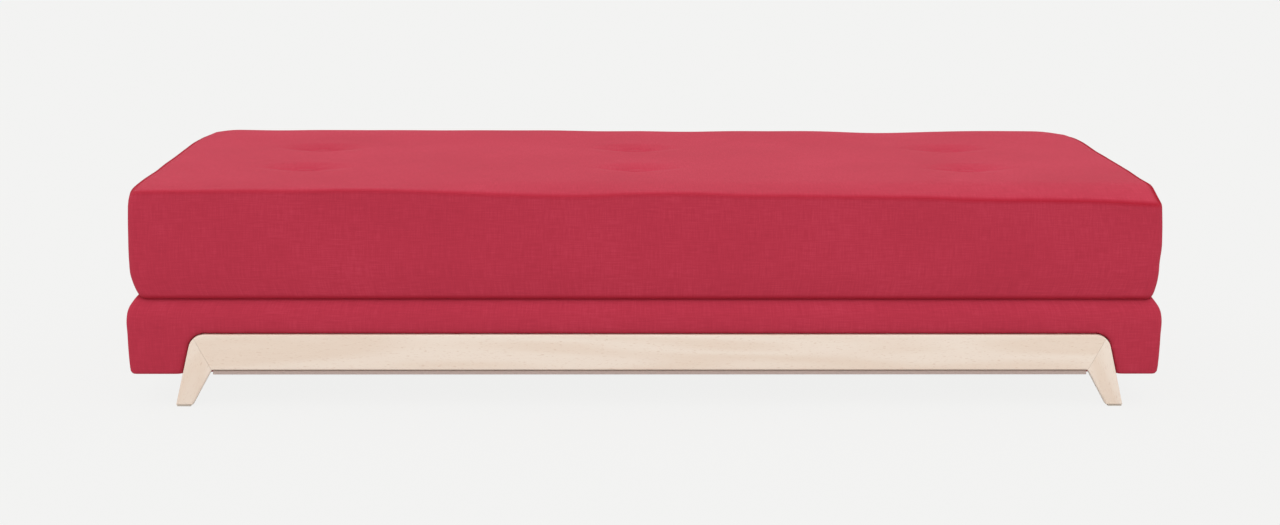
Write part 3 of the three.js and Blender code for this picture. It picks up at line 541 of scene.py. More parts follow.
# %% [markdown]
# The edges are no plain box's either. The front seam rolls down towards the right and hangs a little
# unevenly. The rear edge stands higher, apart from two slack places, and the corners slump. A corner
# could be dragged by hand, but a pull that fades with the distance keeps the cloth round it smooth.

# %% Roll, swell and slump the edges
FRONT_ROLL = 26.5 * MM
REAR_SWELL, SWELL_START, SWELL_END = 4.2 * MM, (150 * MM, 400 * MM), 80 * MM
# Place along the rear edge, how far it reaches each way, and how slack the cloth is there
SLACK_PLACES = [(100 * MM, 230 * MM, 0.5), (560 * MM, 110 * MM, 1.0)]
# Place along the front edge, and how far its seam hangs below an even line there
LEFT_SAGS = [(-0.85, 0), (-0.62, -3.6), (-0.5, -3.8), (-0.36, 0), (-0.18, 5), (-0.13, 4.6), (-0.05, 0)]
RIGHT_SAGS = [(0.11, -1), (0.2, 0.8), (0.36, -0.8), (0.7, 0), (0.88, -3), (1, 0)]
FRONT_SAGS = in_mm(LEFT_SAGS + RIGHT_SAGS)
# Corner, how far it reaches along x and y, how far down it fades, and the pull at the corner
SLUMPS = [
    ((-1, 1), (90 * MM, 250 * MM), 150 * MM, (19 * MM, 16 * MM, 1 * MM)),
    ((1, 1), (110 * MM, 150 * MM), 150 * MM, (4 * MM, 24 * MM, 3.5 * MM)),
    ((1, -1), (110 * MM, 110 * MM), 34 * MM, (7 * MM, 3 * MM, 2 * MM)),
    ((-1, -1), (90 * MM, 90 * MM), 30 * MM, (5 * MM, 2 * MM, 4 * MM)),
]


def front_roll(x):
    """How far the front seam has rolled down: a little at the left and most at the right."""
    u = (x + MATTRESS_HALF[0]) / (2 * MATTRESS_HALF[0])
    return FRONT_ROLL * (0.03 + 0.34 * u + 0.63 * u**4) + smooth_curve(FRONT_SAGS, x)


def rear_swell(x, y):
    """The cloth stands a little higher along the rear edge, apart from its slack places."""
    slack = sum(loss * np.exp(-(((x - place) / reach) ** 2)) for place, reach, loss in SLACK_PLACES)
    swell = REAR_SWELL * (1 - np.minimum(slack, 1)) * smoothstep(y, *SWELL_START)
    return swell * smoothstep(MATTRESS_HALF[0] - np.abs(x), 0, SWELL_END)


def slump(points, corner, reach, fade, pull):
    """Rounds one upright corner by pulling what lies within reach of it in towards the middle."""
    from_corner = [half - side * place for half, side, place in zip(MATTRESS_HALF, corner, points.T)]
    near = [np.clip(1 - away / far, 0, 1) for away, far in zip(from_corner, reach)]
    strength = (near[0] * near[1]) ** 2
    strength *= smoothstep(points[:, 2], mattress_rim - fade, mattress_rim)
    move = np.array([-corner[0] * pull[0], -corner[1] * pull[1], -pull[2]])
    return points + strength[:, None] * move


print("the front seam rolls down", round(front_roll(MATTRESS_HALF[0]) / MM, 1), "mm at the right")

# %% [markdown]
# One function then puts the shape together, from the sides inwards: how full each side stands, the
# crown and its dips, the rolled front edge, and last the corners.

# %% Shape the mattress cover
CROWN_SQUARENESS = (14, 10)
FRONT_ROLL_WIDTH = 108 * MM
EDGE_ROLL, EDGE_ROLL_WIDTH = 3.6 * MM, 16 * MM
FRONT_DROOP, DROOP_FROM, DROOP_TO = 4 * MM, 44 * MM, 14 * MM
RIGHT_SWELL = 3 * MM
BLEND_FROM, BLEND_TO = 60 * MM, 24 * MM


def shape_mattress(cushion, share):
    """The cover over its filling, with share as every point's height between the two rims."""
    x, y, z = cushion.points.T.copy()
    half_x, half_y = cushion.half
    on_top = share > 0.9999
    flat_x, flat_y = CROWN_SQUARENESS
    crown = CROWN * (1 - np.abs(x / half_x) ** flat_x) * (1 - np.abs(y / half_y) ** flat_y)
    rolled_edge = EDGE_ROLL * np.clip(1 - cushion.seam / EDGE_ROLL_WIDTH, 0, 1) ** 2
    inset = smooth_curve(MATTRESS_PROFILE, share)
    fuller = (1 - smooth_curve(LONG_SIDE_SHARE, share)) * inset
    y += np.sign(y) * fuller * smoothstep(np.abs(y), half_y - BLEND_FROM, half_y - BLEND_TO)
    fuller = (1 - smooth_curve(RIGHT_END_SHARE, share)) * inset
    fuller += RIGHT_SWELL * smoothstep(share, 0.3, 0.5)
    x += fuller * smoothstep(x, half_x - BLEND_FROM, half_x - BLEND_TO)
    z += on_top * (crown - tuft_depth(x, y) - rolled_edge)
    z += (share < 0.0001) * under_dimple(x, y)
    z += rear_swell(x, y) * smoothstep(share, 0.6, 1)
    towards_front = np.clip(1 - (half_y + y) / FRONT_ROLL_WIDTH, 0, 1) ** 1.5
    z -= front_roll(x) * towards_front * smoothstep(share, 0.45, 1)
    droop = smoothstep(-y, half_y - DROOP_FROM, half_y - DROOP_TO) * smoothstep(-share, -0.14, 0)
    z -= FRONT_DROOP * droop
    points = np.column_stack([x, y, z])
    for corner, reach, fade, pull in SLUMPS:
        points = slump(points, corner, reach, fade, pull)
    return points


height_share = (mattress.points[:, 2] - MATTRESS_BOTTOM) / mattress_height
shaped = shape_mattress(mattress, height_share)
print("mattress shaped, top at", round(shaped[:, 2].max(), 4))

# %% [markdown]
# Shaped like this the cover fits its filling everywhere, as sheet metal would. Real cloth is held only
# at the seams, the buttons and below, and in between it hangs in the balance of its own stretch and the
# foam's push. Blender's Cloth finds that balance. Each point is held by a spring to its place, stiff
# where the cloth is sewn and weak in the middle of a panel, and a little pressure stands for the foam.
# The result is capped, so that no point strays, and then it is simply the mesh: no modifier stays on
# it.

# %% Let the cloth settle
PRESSURE = 4
SETTLE_FRAMES = 20
STRAY_CAP = 7 * MM
HELD_AT_BUTTON = (24 * MM, 50 * MM)
HELD_AT_SEAM = (3 * MM, 40 * MM)
HELD_BELOW = 0.3
HELD_AT_ZIP = 24 * MM
END_DEPTH = 12 * MM


def settle(points, faces, hold):
    """Runs Blender's Cloth on a copy of this mesh and returns where its points come to rest."""
    copy = make_piece("cloth at work", points, faces)
    held = copy.vertex_groups.new(name="held")
    for weight in np.unique(hold):
        held.add(np.flatnonzero(hold == weight).tolist(), float(weight), "REPLACE")
    cloth = copy.modifiers.new("cloth", "CLOTH")
    cloth.settings.quality = 4
    cloth.settings.mass = 0.4
    cloth.settings.tension_stiffness = cloth.settings.compression_stiffness = 12
    cloth.settings.bending_stiffness = 2
    cloth.settings.use_pressure = True
    cloth.settings.uniform_pressure_force = PRESSURE
    cloth.settings.effector_weights.gravity = 0
    cloth.settings.vertex_group_mass = "held"
    cloth.settings.pin_stiffness = 1
    cloth.collision_settings.use_collision = False
    cloth.point_cache.frame_start, cloth.point_cache.frame_end = 1, SETTLE_FRAMES
    scene = bpy.context.scene
    for step in range(1, SETTLE_FRAMES + 1):
        scene.frame_set(step)
    at_rest = copy.evaluated_get(bpy.context.evaluated_depsgraph_get())
    found = np.empty(len(points) * 3)
    at_rest.data.vertices.foreach_get("co", found)
    scene.frame_set(1)
    bpy.data.objects.remove(copy)
    moved = found.reshape(-1, 3) - points
    far = np.maximum(np.linalg.norm(moved, axis=1), 1e-9)
    return points + moved * (STRAY_CAP * np.tanh(far / STRAY_CAP) / far)[:, None]


from_tuft = np.min([np.hypot(shaped[:, 0] - t[0], shaped[:, 1] - t[1]) for t in tufts], axis=0)
hold = 0.5 + 0.5 * (1 - smoothstep(from_tuft, *HELD_AT_BUTTON))
hold = np.maximum(hold, 1 - 0.5 * smoothstep(mattress.seam, *HELD_AT_SEAM))
hold[height_share < HELD_BELOW] = 1
by_zip = np.abs(shaped[:, 2] - zip_middle) < HELD_AT_ZIP
hold[(shaped[:, 0] > MATTRESS_HALF[0] - END_DEPTH) & by_zip] = 1
settled = shaped
settled = settle(shaped, mattress.faces, np.round(hold, 2))
print("cloth moved by up to", round(np.linalg.norm(settled - shaped, axis=1).max() / MM, 1), "mm")

# %% [markdown]
# Last comes what is narrower than the cloth's own cells: the groove along the seam, whose line is never
# quite straight, and the placket on the right-hand end, where the cover folds in over the zip.

# %% Sew the seams and the placket
SEAM_GROOVE, SEAM_WIDTH, SEAM_PULL = 1.4 * MM, 3.2 * MM, 0.7
SEAM_SIDE = 40 * MM
SEAM_WAVER, WAVER_REACH = 2 * MM, (34 * MM, 10 * MM)
SLOT_HALF, SLOT_DEPTH, SLOT_END = 7.4 * MM, 1 * MM, (16 * MM, 2 * MM)
LIP_RISE, LIP_PLACE, LIP_WIDTH = 0.8 * MM, 9.5 * MM, 2 * MM
# How strongly the painted seam shade turns the colour deep red, and how much weaker it is towards the
# left on the upper seam
SEAM_SHADE_STRENGTH, LEFT_SEAM_SHADE_LOSS = 0.85, 0.3


def sew_seam(points, cushion, share):
    """Pulls the cloth in along the upper seam, and lets its line waver."""
    x, y, z = points.T.copy()
    half_x, half_y = cushion.half
    place = np.column_stack([x, y, 0 * z])
    pull = SEAM_GROOVE * np.exp(-((cushion.seam / SEAM_WIDTH) ** 2)) * (share > 0.5)
    pull *= 1 + 0.5 * waver(place, 60 * MM, seed=3)
    x -= SEAM_PULL * pull * np.sign(x) * (np.abs(x) > half_x - SEAM_SIDE)
    y -= SEAM_PULL * pull * np.sign(y) * (np.abs(y) > half_y - SEAM_SIDE)
    near_seam = smoothstep(share, 0.7, 1)
    near_seam *= smoothstep(-cushion.seam, -WAVER_REACH[0], -WAVER_REACH[1])
    z += SEAM_WAVER * waver(place, 150 * MM, seed=11) * near_seam - SEAM_PULL * pull
    return np.column_stack([x, y, z])


def placket(points, as_cut):
    """Folds the right-hand end in on itself along the zip, so that the tape lies at the bottom."""
    from_middle = np.abs(as_cut[:, 2] - zip_middle)
    length = smoothstep(-np.abs(points[:, 1]), -zip_high.y - SLOT_END[0], -zip_high.y - SLOT_END[1])
    on_end = points[:, 0] > MATTRESS_HALF[0] - END_DEPTH
    folded = (from_middle < SLOT_HALF) * length * on_end
    floor = zip_low.x - SLOT_DEPTH
    lip = LIP_RISE * np.exp(-(((from_middle - LIP_PLACE) / LIP_WIDTH) ** 2)) * length
    x = points[:, 0] + lip * on_end
    return np.column_stack([x + (floor - x) * folded, points[:, 1], points[:, 2]])


as_cut = mattress.points
mattress.points = placket(sew_seam(settled, mattress, height_share), as_cut)
# The upper seam is shaded less towards the left, as in the photograph
top_seam_shade_loss = LEFT_SEAM_SHADE_LOSS - LEFT_SEAM_SHADE_LOSS * smoothstep(mattress.points[:, 0], 0.2, 0.85)
mattress_cover = make_piece(
    "mattress_cover_cloth",
    mattress.points,
    mattress.faces,
    mattress.cloth,
    upholstery,
    seam_distance=mattress.seam,
    # Painted seam shade: how far the colour turns deep red along the seams
    seam_depth=SEAM_SHADE_STRENGTH - top_seam_shade_loss * smoothstep(height_share, 0.3, 0.7),
)
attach(mattress_cover, "mattress")
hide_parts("mattress_cover")
print("mattress cover top at", round(mattress.points[:, 2].max(), 4))

# %% [markdown]
# ## The base cover
# The base is a box with foam under one tight cover of the same cloth. The leg frames lie in channels in
# its long sides, nearly flush, so above each rail the cloth rolls over the foam's edge and down behind
# the wood. A plain box with a frame laid on it would miss that soft shadow line, and a boolean cut
# would leave a hard edge. Here every point of the cover knows its distance from the frame's outline:
# outside, it follows a quarter round into the channel, and inside it lies flat behind the wood.

# %% The outline that a leg frame fills
FOOT_HALF_SPAN = 927 * MM
OUTER_SPLAY = math.radians(13.5)
SHOULDER_RADIUS = 31 * MM
rail_low, rail_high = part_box("front_rail")
WOOD_BACK = -rail_high.y
RAIL_TOP = rail_high.z
FRAME_MIDDLE = (rail_low.x + rail_high.x) / 2


def frame_distance(x, z):
    """Signed distance to the frame's outer outline, negative inside, and the direction away from it."""
    x = x - FRAME_MIDDLE
    cos, sin = math.cos(OUTER_SPLAY), math.sin(OUTER_SPLAY)
    past_leg = (np.abs(x) - FOOT_HALF_SPAN) * cos + z * sin
    above = z - RAIL_TOP
    centre_z = RAIL_TOP - SHOULDER_RADIUS
    centre_x = FOOT_HALF_SPAN - centre_z * math.tan(OUTER_SPLAY) - SHOULDER_RADIUS / cos
    to_x, to_z = np.abs(x) - centre_x, z - centre_z
    reach = np.maximum(np.hypot(to_x, to_z), 1e-9)
    on_shoulder = (to_x > 0) & (to_z * cos - to_x * sin > 0)
    distance = np.where(on_shoulder, reach - SHOULDER_RADIUS, np.maximum(past_leg, above))
    by_leg = past_leg > above
    away_x = np.where(on_shoulder, to_x / reach, by_leg * cos) * np.sign(x)
    away_z = np.where(on_shoulder, to_z / reach, np.where(by_leg, sin, 1))
    return distance, away_x, away_z


print("a leg frame's feet reach", 2 * FOOT_HALF_SPAN, "metres from side to side")

# %% Cut the base cover
base_low, base_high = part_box("base_cover")
BASE_HALF = (base_high.x, base_high.y)
BASE_BOTTOM, BASE_TOP = base_low.z, base_high.z
BASE_CORNER = 12 * MM
BASE_CELL, BASE_STEPS = 4 * MM, (12 * MM, 14 * MM)
BASE_EDGES = [e * MM for e in (0, 4, 8, 12, 20, 30, 42)]
LEG_PLACE, LEG_ZONE = 892 * MM, 40 * MM
ABOVE_RAIL = 16 * MM
base_height = BASE_TOP - BASE_BOTTOM
LOWER_BASE = [(0, 6), (0.012, 4.4), (0.05, 3), (0.15, 1.7), (0.3, 0.7), (0.5, 0.1), (0.74, 0)]
UPPER_BASE = [(0.81, 1.8), (0.88, 6.2), (0.93, 11.5), (0.97, 16), (1, 20.5)]
BASE_PROFILE = in_mm(LOWER_BASE + UPPER_BASE)
rail_share = (RAIL_TOP + ABOVE_RAIL - BASE_BOTTOM) / base_height
rows_behind_rail = int(rail_share * base_height / BASE_CELL)
base_marks = [*np.linspace(0, rail_share, rows_behind_rail), *np.linspace(rail_share, 1, 13)[1:]]
leg_middles = [FRAME_MIDDLE + side * LEG_PLACE for side in (-1, 1)]
leg_zones = [(middle - LEG_ZONE, middle + LEG_ZONE) for middle in leg_middles]
base = Cushion(
    BASE_HALF,
    BASE_CORNER,
    grid_lines(BASE_HALF[0], BASE_STEPS[0], BASE_EDGES, leg_zones, BASE_CELL),
    grid_lines(BASE_HALF[1], BASE_STEPS[1], BASE_EDGES),
    levels_at(base_marks, BASE_PROFILE, BASE_BOTTOM, base_height),
)
print("base cover:", len(base.faces), "cells")

# %% Roll the cover into the channels
CHANNEL_GAP = 1 * MM
ROLL_HEIGHT = 14 * MM
ROLL_DEPTH = 7 * MM
CHANNEL_BACK = WOOD_BACK - 0.4 * MM


def roll_into_channels(points):
    """Rolls the long sides behind the wood. Points near the outline are moved on to it, in two bands
    as wide as a cell, so the cloth turns in square there and doesn't cut through the wood's edge."""
    x, y, z = points.T.copy()
    distance, away_x, away_z = frame_distance(x, z)
    distance = distance - CHANNEL_GAP
    band = 0.5 * BASE_CELL * 1.02  # Half a cell and a little more
    on_edge = (distance < band) & (distance >= -band)
    turned_in = (distance < -band) & (distance >= -3 * band)
    move = np.where(on_edge | turned_in, -distance, 0)
    x, z = x + move * away_x, z + move * away_z
    left = np.clip(1 - np.where(on_edge, 0, distance) / ROLL_HEIGHT, 0, 1)
    rolled = ROLL_DEPTH * (1 - np.sqrt(1 - left**2))
    depth = np.abs(y) - rolled
    depth = np.where(distance < -band, CHANNEL_BACK, depth)
    return np.column_stack([x, np.sign(y) * depth, np.maximum(z, BASE_BOTTOM)])


print("the sides roll", ROLL_DEPTH / MM, "mm in over", ROLL_HEIGHT / MM, "mm above the rails")

# %% [markdown]
# The whole cover follows. Its long sides are rolled in, the bottom panel is drawn along with its rim,
# and the ends get a slow waver, because even tight cloth is never quite flat.

# %% Shape the base cover
LONG_SIDE_DEPTH = 30 * MM
FOLLOWS_FROM = 380 * MM
BASE_WAVER_MM = 1.1


def shape_base(cushion):
    """The base cover: sides rolled into the channels, a bottom that follows them, and wavy ends."""
    points = cushion.points.copy()
    sides = np.arange(cushion.ring * len(cushion.levels))
    long_side = sides[np.abs(points[sides, 1]) > cushion.half[1] - LONG_SIDE_DEPTH]
    long_side = long_side[np.abs(points[long_side, 0]) < cushion.half[0] - cushion.corner]
    before = points.copy()
    points[long_side] = roll_into_channels(points[long_side])

    # The bottom panel follows its rim
    for rows in (cushion.bottom_panel, cushion.bottom_panel[::-1]):
        rim = before[rows[0]]
        moved = points[rows[0]] - rim
        for row in rows[1:]:
            reach = np.abs(before[row, 1])
            follow = np.clip((reach - FOLLOWS_FROM) / (np.abs(rim[:, 1]) - FOLLOWS_FROM), 0, 1)
            if follow.max() == 0 or np.sign(before[row[0], 1]) != np.sign(rim[0, 1]):
                break
            points[row] += moved * follow[:, None]
            points[row, 2] = before[row, 2]

    # Tight cloth still shows a slow waver
    wobble = waver(points[sides], 210 * MM, seed=23) * BASE_WAVER_MM * MM
    share = (points[sides, 2] - BASE_BOTTOM) / base_height
    wobble = np.abs(wobble) * np.sin(np.pi * np.clip(share, 0, 1)) ** 0.6
    on_end = np.abs(points[sides, 0]) > cushion.half[0] - END_DEPTH
    points[sides, 0] -= on_end * np.sign(points[sides, 0]) * wobble
    return points


base.points = shape_base(base)
base_cover = make_piece(
    "base_cover_cloth",
    base.points,
    base.faces,
    base.cloth,
    upholstery,
    seam_distance=base.seam,
    # Painted shade along the upper seam only, which darkens the crease under the mattress
    seam_depth=SEAM_SHADE_STRENGTH * (base.points[:, 2] > (BASE_BOTTOM + BASE_TOP) / 2),
)
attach(base_cover, "base")
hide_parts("base_cover")
print("base cover shaped, top at", round(base.points[:, 2].max(), 4))

# %% [markdown]
# ## Covered buttons
# Each button is a shallow dome with the same cloth drawn over it and gathered behind, and a cord ties
# it down through the mattress to a flat button below. The dome is turned from a profile, like a bowl on
# a lathe, and small pleats at its edge show where the cloth is gathered.

# %% Covered buttons
BUTTON_PROFILE = [(0, 1.0), (0.3, 0.95), (0.58, 0.8), (0.8, 0.55), (0.94, 0.26), (1, 0), (0.93, -0.3)]
BUTTON_STEPS = 40
BUTTON_PLEATS, PLEAT_DEPTH = 13, 0.035
CLOTH_TUCK = 4 * MM


def ring_faces(rings, count, first=0):
    """The faces between neighbouring rings of count points each, from point number first on."""
    faces = []
    for ring in range(rings - 1):
        low = first + ring * count
        for k in range(count):
            after = (k + 1) % count
            faces.append((low + k, low + after, low + count + after, low + count + k))
    return faces


def turned_button(name, centre, radius, seat, height):
    """A dome of rings round a middle point, closed below, with pleats towards its edge."""
    points, faces = [(centre.x, centre.y, seat + height)], []
    spots = [(0.0, 0.0)]
    for share, lift in BUTTON_PROFILE[1:]:
        for step in range(BUTTON_STEPS):
            angle = 2 * math.pi * step / BUTTON_STEPS
            pleat = 1 - PLEAT_DEPTH * share**6 * (1 + math.cos(BUTTON_PLEATS * angle))
            reach = radius * share * pleat
            x, y = reach * math.cos(angle), reach * math.sin(angle)
            points.append((centre.x + x, centre.y + y, seat + height * lift))
            spots.append((x + centre.x, y + centre.y - (lift < 0) * CLOTH_TUCK))
    for step in range(BUTTON_STEPS):
        faces.append((0, 1 + step, 1 + (step + 1) % BUTTON_STEPS))
    rings = ring_faces(len(BUTTON_PROFILE) - 1, BUTTON_STEPS, first=1)
    faces += [(a, d, c, b) for a, b, c, d in rings]
    last = 1 + (len(BUTTON_PROFILE) - 2) * BUTTON_STEPS
    faces.append(tuple(last + step for step in reversed(range(BUTTON_STEPS))))
    cloth = [spots[corner] for face in faces for corner in face]
    return make_piece(name, points, faces, cloth, upholstery, seam_distance=np.ones(len(points)))


BUTTON_RADIUS, BUTTON_DOME, BUTTON_SEAT = 20 * MM, 5 * MM, 1.5 * MM
BACK_RADIUS, BACK_DOME, BACK_SEAT = BUTTON_RADIUS * 0.8, 4 * MM, 0.8 * MM
for number, (low, high) in enumerate(tuft_boxes, 1):
    middle = (low + high) / 2
    seat = mattress_rim + CROWN - TUFT_DEPTH - BUTTON_WELL[1] + BUTTON_SEAT
    button = turned_button(f"button_{number}_front", middle, BUTTON_RADIUS, seat, BUTTON_DOME)
    under = MATTRESS_BOTTOM + UNDER_DIMPLE[1] - BACK_SEAT
    back = turned_button(f"button_{number}_back", middle, BACK_RADIUS, under, -BACK_DOME)
    back.data.flip_normals()
    for piece in (button, back):
        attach(piece, "mattress")
    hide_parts(f"button_tie_{number}")
print("covered buttons:", len(tuft_boxes))

# %% [markdown]
# ## Dust cover
# Under an upholstered base a sheet of spunbonded cloth keeps dust out of the box. It is stapled round
# the hem, and under each rail it is folded up over a strip, which shows as a thin grey-brown line below
# the wood. One sheet is cut for all of it: flat in the middle, and turned up and back in at both rails.
# It is laid out by rows of points, so that the way over the cloth is known and the map is true.

# %% Dust cover
INNER_SPLAY = math.radians(29)
FOOT_WIDTH = 31.5 * MM
SHEET_BELOW, SHEET_INSET = 0.9 * MM, (2 * MM, 46 * MM)
STRIP_CLEARANCE, STRIP_INSET, STRIP_BELOW_RAIL = 2.4 * MM, 0.6 * MM, 1.2 * MM
TURN, TURN_CUT = 1.5 * MM, 0.45 * MM
SHEET_SAG, SAG_SIZE, SAG_START = 2.5 * MM, 300 * MM, 90 * MM
dust_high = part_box("base_dust_cover")[1]
sheet_z = BASE_BOTTOM - SHEET_BELOW
sheet_half = (dust_high.x - SHEET_INSET[0], BASE_HALF[1] - SHEET_INSET[1])
inner_foot = FOOT_HALF_SPAN - FOOT_WIDTH
strip_half = inner_foot - rail_low.z * math.tan(INNER_SPLAY) - STRIP_CLEARANCE
strip_ends = (FRAME_MIDDLE - strip_half, FRAME_MIDDLE + strip_half)
strip_y = dust_high.y - STRIP_INSET
strip_top = rail_low.z - STRIP_BELOW_RAIL - sheet_z
strip_out, strip_up = strip_y - TURN - sheet_half[1], strip_top - 3 * MM
STRIP_PATH = [
    *[(sheet_half[1] + share * strip_out, 0) for share in (0.34, 0.67, 1)],
    (strip_y - TURN_CUT, TURN_CUT),
    *[(strip_y, TURN + share * strip_up) for share in (0, 0.33, 0.67, 1)],
    (strip_y - TURN_CUT, strip_top - TURN_CUT),
    *[(strip_y - along * MM, strip_top) for along in (1.5, 6, 12, 17)],
]
print("dust cover: a strip of", round(2 * strip_half, 3), "metres shows under each rail")

# %% [markdown]
# The sheet's lines across the bed have one at each end of the strip, so the tongue that folds up under
# a rail starts at a line of the flat panel. The panel then sags a little under its own weight.

# %% Lay out the dust cover
def joined_lines(*runs):
    """Runs of even lines, each (first, last, count), joined without a double line."""
    lines = [np.linspace(*run) for run in runs]
    return np.concatenate([*[run[:-1] for run in lines[:-1]], lines[-1]])


def grid_faces(lines, count):
    """The faces between lines of count points each."""
    starts = [line * count + k for line in range(lines - 1) for k in range(count - 1)]
    return [(k, k + 1, k + count + 1, k + count) for k in starts]


def dust_sheet():
    """The flat panel, and from its long edges a tongue of rows along the fold at each rail."""
    left, right = (-sheet_half[0], strip_ends[0], 7), (strip_ends[1], sheet_half[0], 7)
    lines_x = joined_lines(left, (*strip_ends, 90), right)
    lines_y = np.linspace(-sheet_half[1], sheet_half[1], 42)
    points = [(x, y, sheet_z) for x in lines_x for y in lines_y]
    flat = [(x, y) for x in lines_x for y in lines_y]
    count = len(lines_y)
    faces = grid_faces(len(lines_x), count)
    columns = [i for i, x in enumerate(lines_x) if abs(x - FRAME_MIDDLE) < strip_half + 0.1 * MM]
    for side, last in ((-1, 0), (1, count - 1)):
        before = [i * count + last for i in columns]
        way, here = sheet_half[1], (sheet_half[1], 0)
        for spot in STRIP_PATH:
            way += math.dist(here, spot)
            here = spot
            row = [len(points) + k for k in range(len(columns))]
            points += [(lines_x[i], side * spot[0], sheet_z + spot[1]) for i in columns]
            flat += [(lines_x[i], side * way) for i in columns]
            for k in range(len(columns) - 1):
                cell = (before[k], before[k + 1], row[k + 1], row[k])
                faces.append(cell if side < 0 else cell[::-1])
            before = row
    return np.array(points), faces, [flat[c] for face in faces for c in face], way


dust_points, dust_faces, dust_cloth, dust_reach = dust_sheet()
sag = waver(dust_points, SAG_SIZE, seed=31) + 1
inside = [smoothstep(h - np.abs(p), 0, SAG_START) for h, p in zip(sheet_half, dust_points.T)]
dust_points[:, 2] -= SHEET_SAG * sag * inside[0] * inside[1]
print("dust cover laid out in", len(dust_faces), "cells")

# %% [markdown]
# Spunbonded cloth is not woven: fine fibres lie at random and are welded together at a grid of small
# points, which is what its surface shows. It is matt, and a little smoother where it is welded.

# %% Spunbonded cloth
FIBRE_SIZES = ((9 * MM, 1.2 * MM, 1), (1.2 * MM, 9 * MM, 1))
WELD_PITCH = 3 * MM


def spunbonded_cloth(name, dark, light):
    """Random fibres, in two directions of stretched noise, and a grid of welded points."""
    material, tree = new_material(name)
    cloth = node(tree, "UVMap", uv_map="cloth")
    fibres = []
    for size in FIBRE_SIZES:
        drawn = node(tree, "Mapping", {"Vector": cloth, "Scale": size}, vector_type="TEXTURE")
        fibres.append(node(tree, "TexNoise", {"Vector": drawn, "Scale": 1.0, "Detail": 3.0}))
    web = node(tree, "Mix", {0: 0.5, 2: fibres[0], 3: fibres[1]})
    grid = {"Vector": cloth, "Scale": 1 / WELD_PITCH, "Randomness": 0.0}
    welds = node(tree, "TexVoronoi", grid, voronoi_dimensions="2D")
    pressed = node(tree, "MapRange", {"Value": welds, "From Min": 0.12, "From Max": 0.3})
    tone = node(tree, "MapRange", {"Value": web, "From Min": 0.35, "From Max": 0.65})
    colour = node(tree, "Mix", {0: tone, 6: linear(dark), 7: linear(light)}, data_type="RGBA")
    height = node(tree, "Math", {0: web, 1: pressed}, operation="ADD")
    relief = node(tree, "Bump", {"Height": height, "Strength": 0.35, "Distance": 0.25 * MM})
    roughness = node(tree, "MapRange", {"Value": pressed, "To Min": 0.6, "To Max": 0.9})
    looks = {"Base Color": colour.outputs[2], "Normal": relief, "Roughness": roughness}
    shader = node(tree, "BsdfPrincipled", {**looks, "Specular IOR Level": 0.25})
    node(tree, "OutputMaterial", {"Surface": shader})
    return material


dust_cloth_finish = spunbonded_cloth("grey-brown spunbonded cloth", "#b8a59d", "#c9b6ae")
dust_cover = make_piece("dust_cover_sheet", dust_points, dust_faces, dust_cloth, dust_cloth_finish)
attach(dust_cover, "base")
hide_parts("base_dust_cover")

# %% [markdown]
# ## The band that joins the two halves
# One strip of the same cloth is stitched to the back of the base and to the back of the mattress, and
# crosses the crease. It is the hinge: the mattress turns over about the line where the strip bends. So
# the strip is one piece that follows the base below that line and the mattress above it.

# %% Band
band_low, band_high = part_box("base_band")
over_low, over_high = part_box("mattress_band")
BAND_HALF = band_high.x
BAND_FOLD = (band_high.z + over_low.z) / 2
BAND_FINE, BAND_TAPER = 6 * MM, 34 * MM
BAND_CREEP = 0.8 * MM
BAND_WAVER, WAVER_SIZE = 0.35 * MM, 55 * MM
band_y = band_high.y - 0.4 * MM


def band_depth(z):
    """How far back the strip lies: taut over the crease, and against the mattress above it."""
    upper = smoothstep(z, over_high.z - BAND_TAPER, over_high.z)
    return band_y - BAND_CREEP * upper


band_lines_x = np.linspace(-BAND_HALF, BAND_HALF, 181)
fine_low, fine_high = BAND_FOLD - BAND_FINE, BAND_FOLD + BAND_FINE
lower, upper = (band_low.z, fine_low, 11), (fine_high, over_high.z, 11)
band_lines_z = joined_lines(lower, (fine_low, fine_high, 13), upper)
band_points = np.array([(x, band_depth(z), z) for x in band_lines_x for z in band_lines_z])
band_z = band_points[:, 2]
middle_share = 1 - np.abs(band_z - BAND_FOLD) / (band_high.z - band_low.z)
slack = waver(band_points, WAVER_SIZE, seed=41) * smoothstep(np.abs(middle_share - 0.5), 0.5, 0.3)
band_points[:, 1] += BAND_WAVER * slack
band_faces = grid_faces(len(band_lines_x), len(band_lines_z))
band_cloth = [(band_points[c][0], band_points[c][2]) for face in band_faces for c in face]
band = make_piece(
    "joining_band",
    band_points,
    band_faces,
    band_cloth,
    upholstery,
    seam_distance=np.minimum(band_z - band_low.z, over_high.z - band_z) + 2 * MM,
)
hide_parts("base_band", "mattress_band")
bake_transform(band)
print("band:", len(band_faces), "cells")

# %% [markdown]
# A row of stitches holds each edge of the strip. Every stitch is a short, slightly arched piece of
# thread that dips into the cloth at both ends.

# %% Thread and stitches
THREAD_RADIUS = 0.35 * MM
STITCH_ARCH = [(0, -0.5), (0.12, 0.25), (0.5, 0.5), (0.88, 0.25), (1, -0.5)]
STITCH_PITCH, STITCH_LENGTH = 7 * MM, 4.6 * MM
STITCH_INSET, STITCH_END, STITCH_LIFT = 7 * MM, 8 * MM, 0.25 * MM


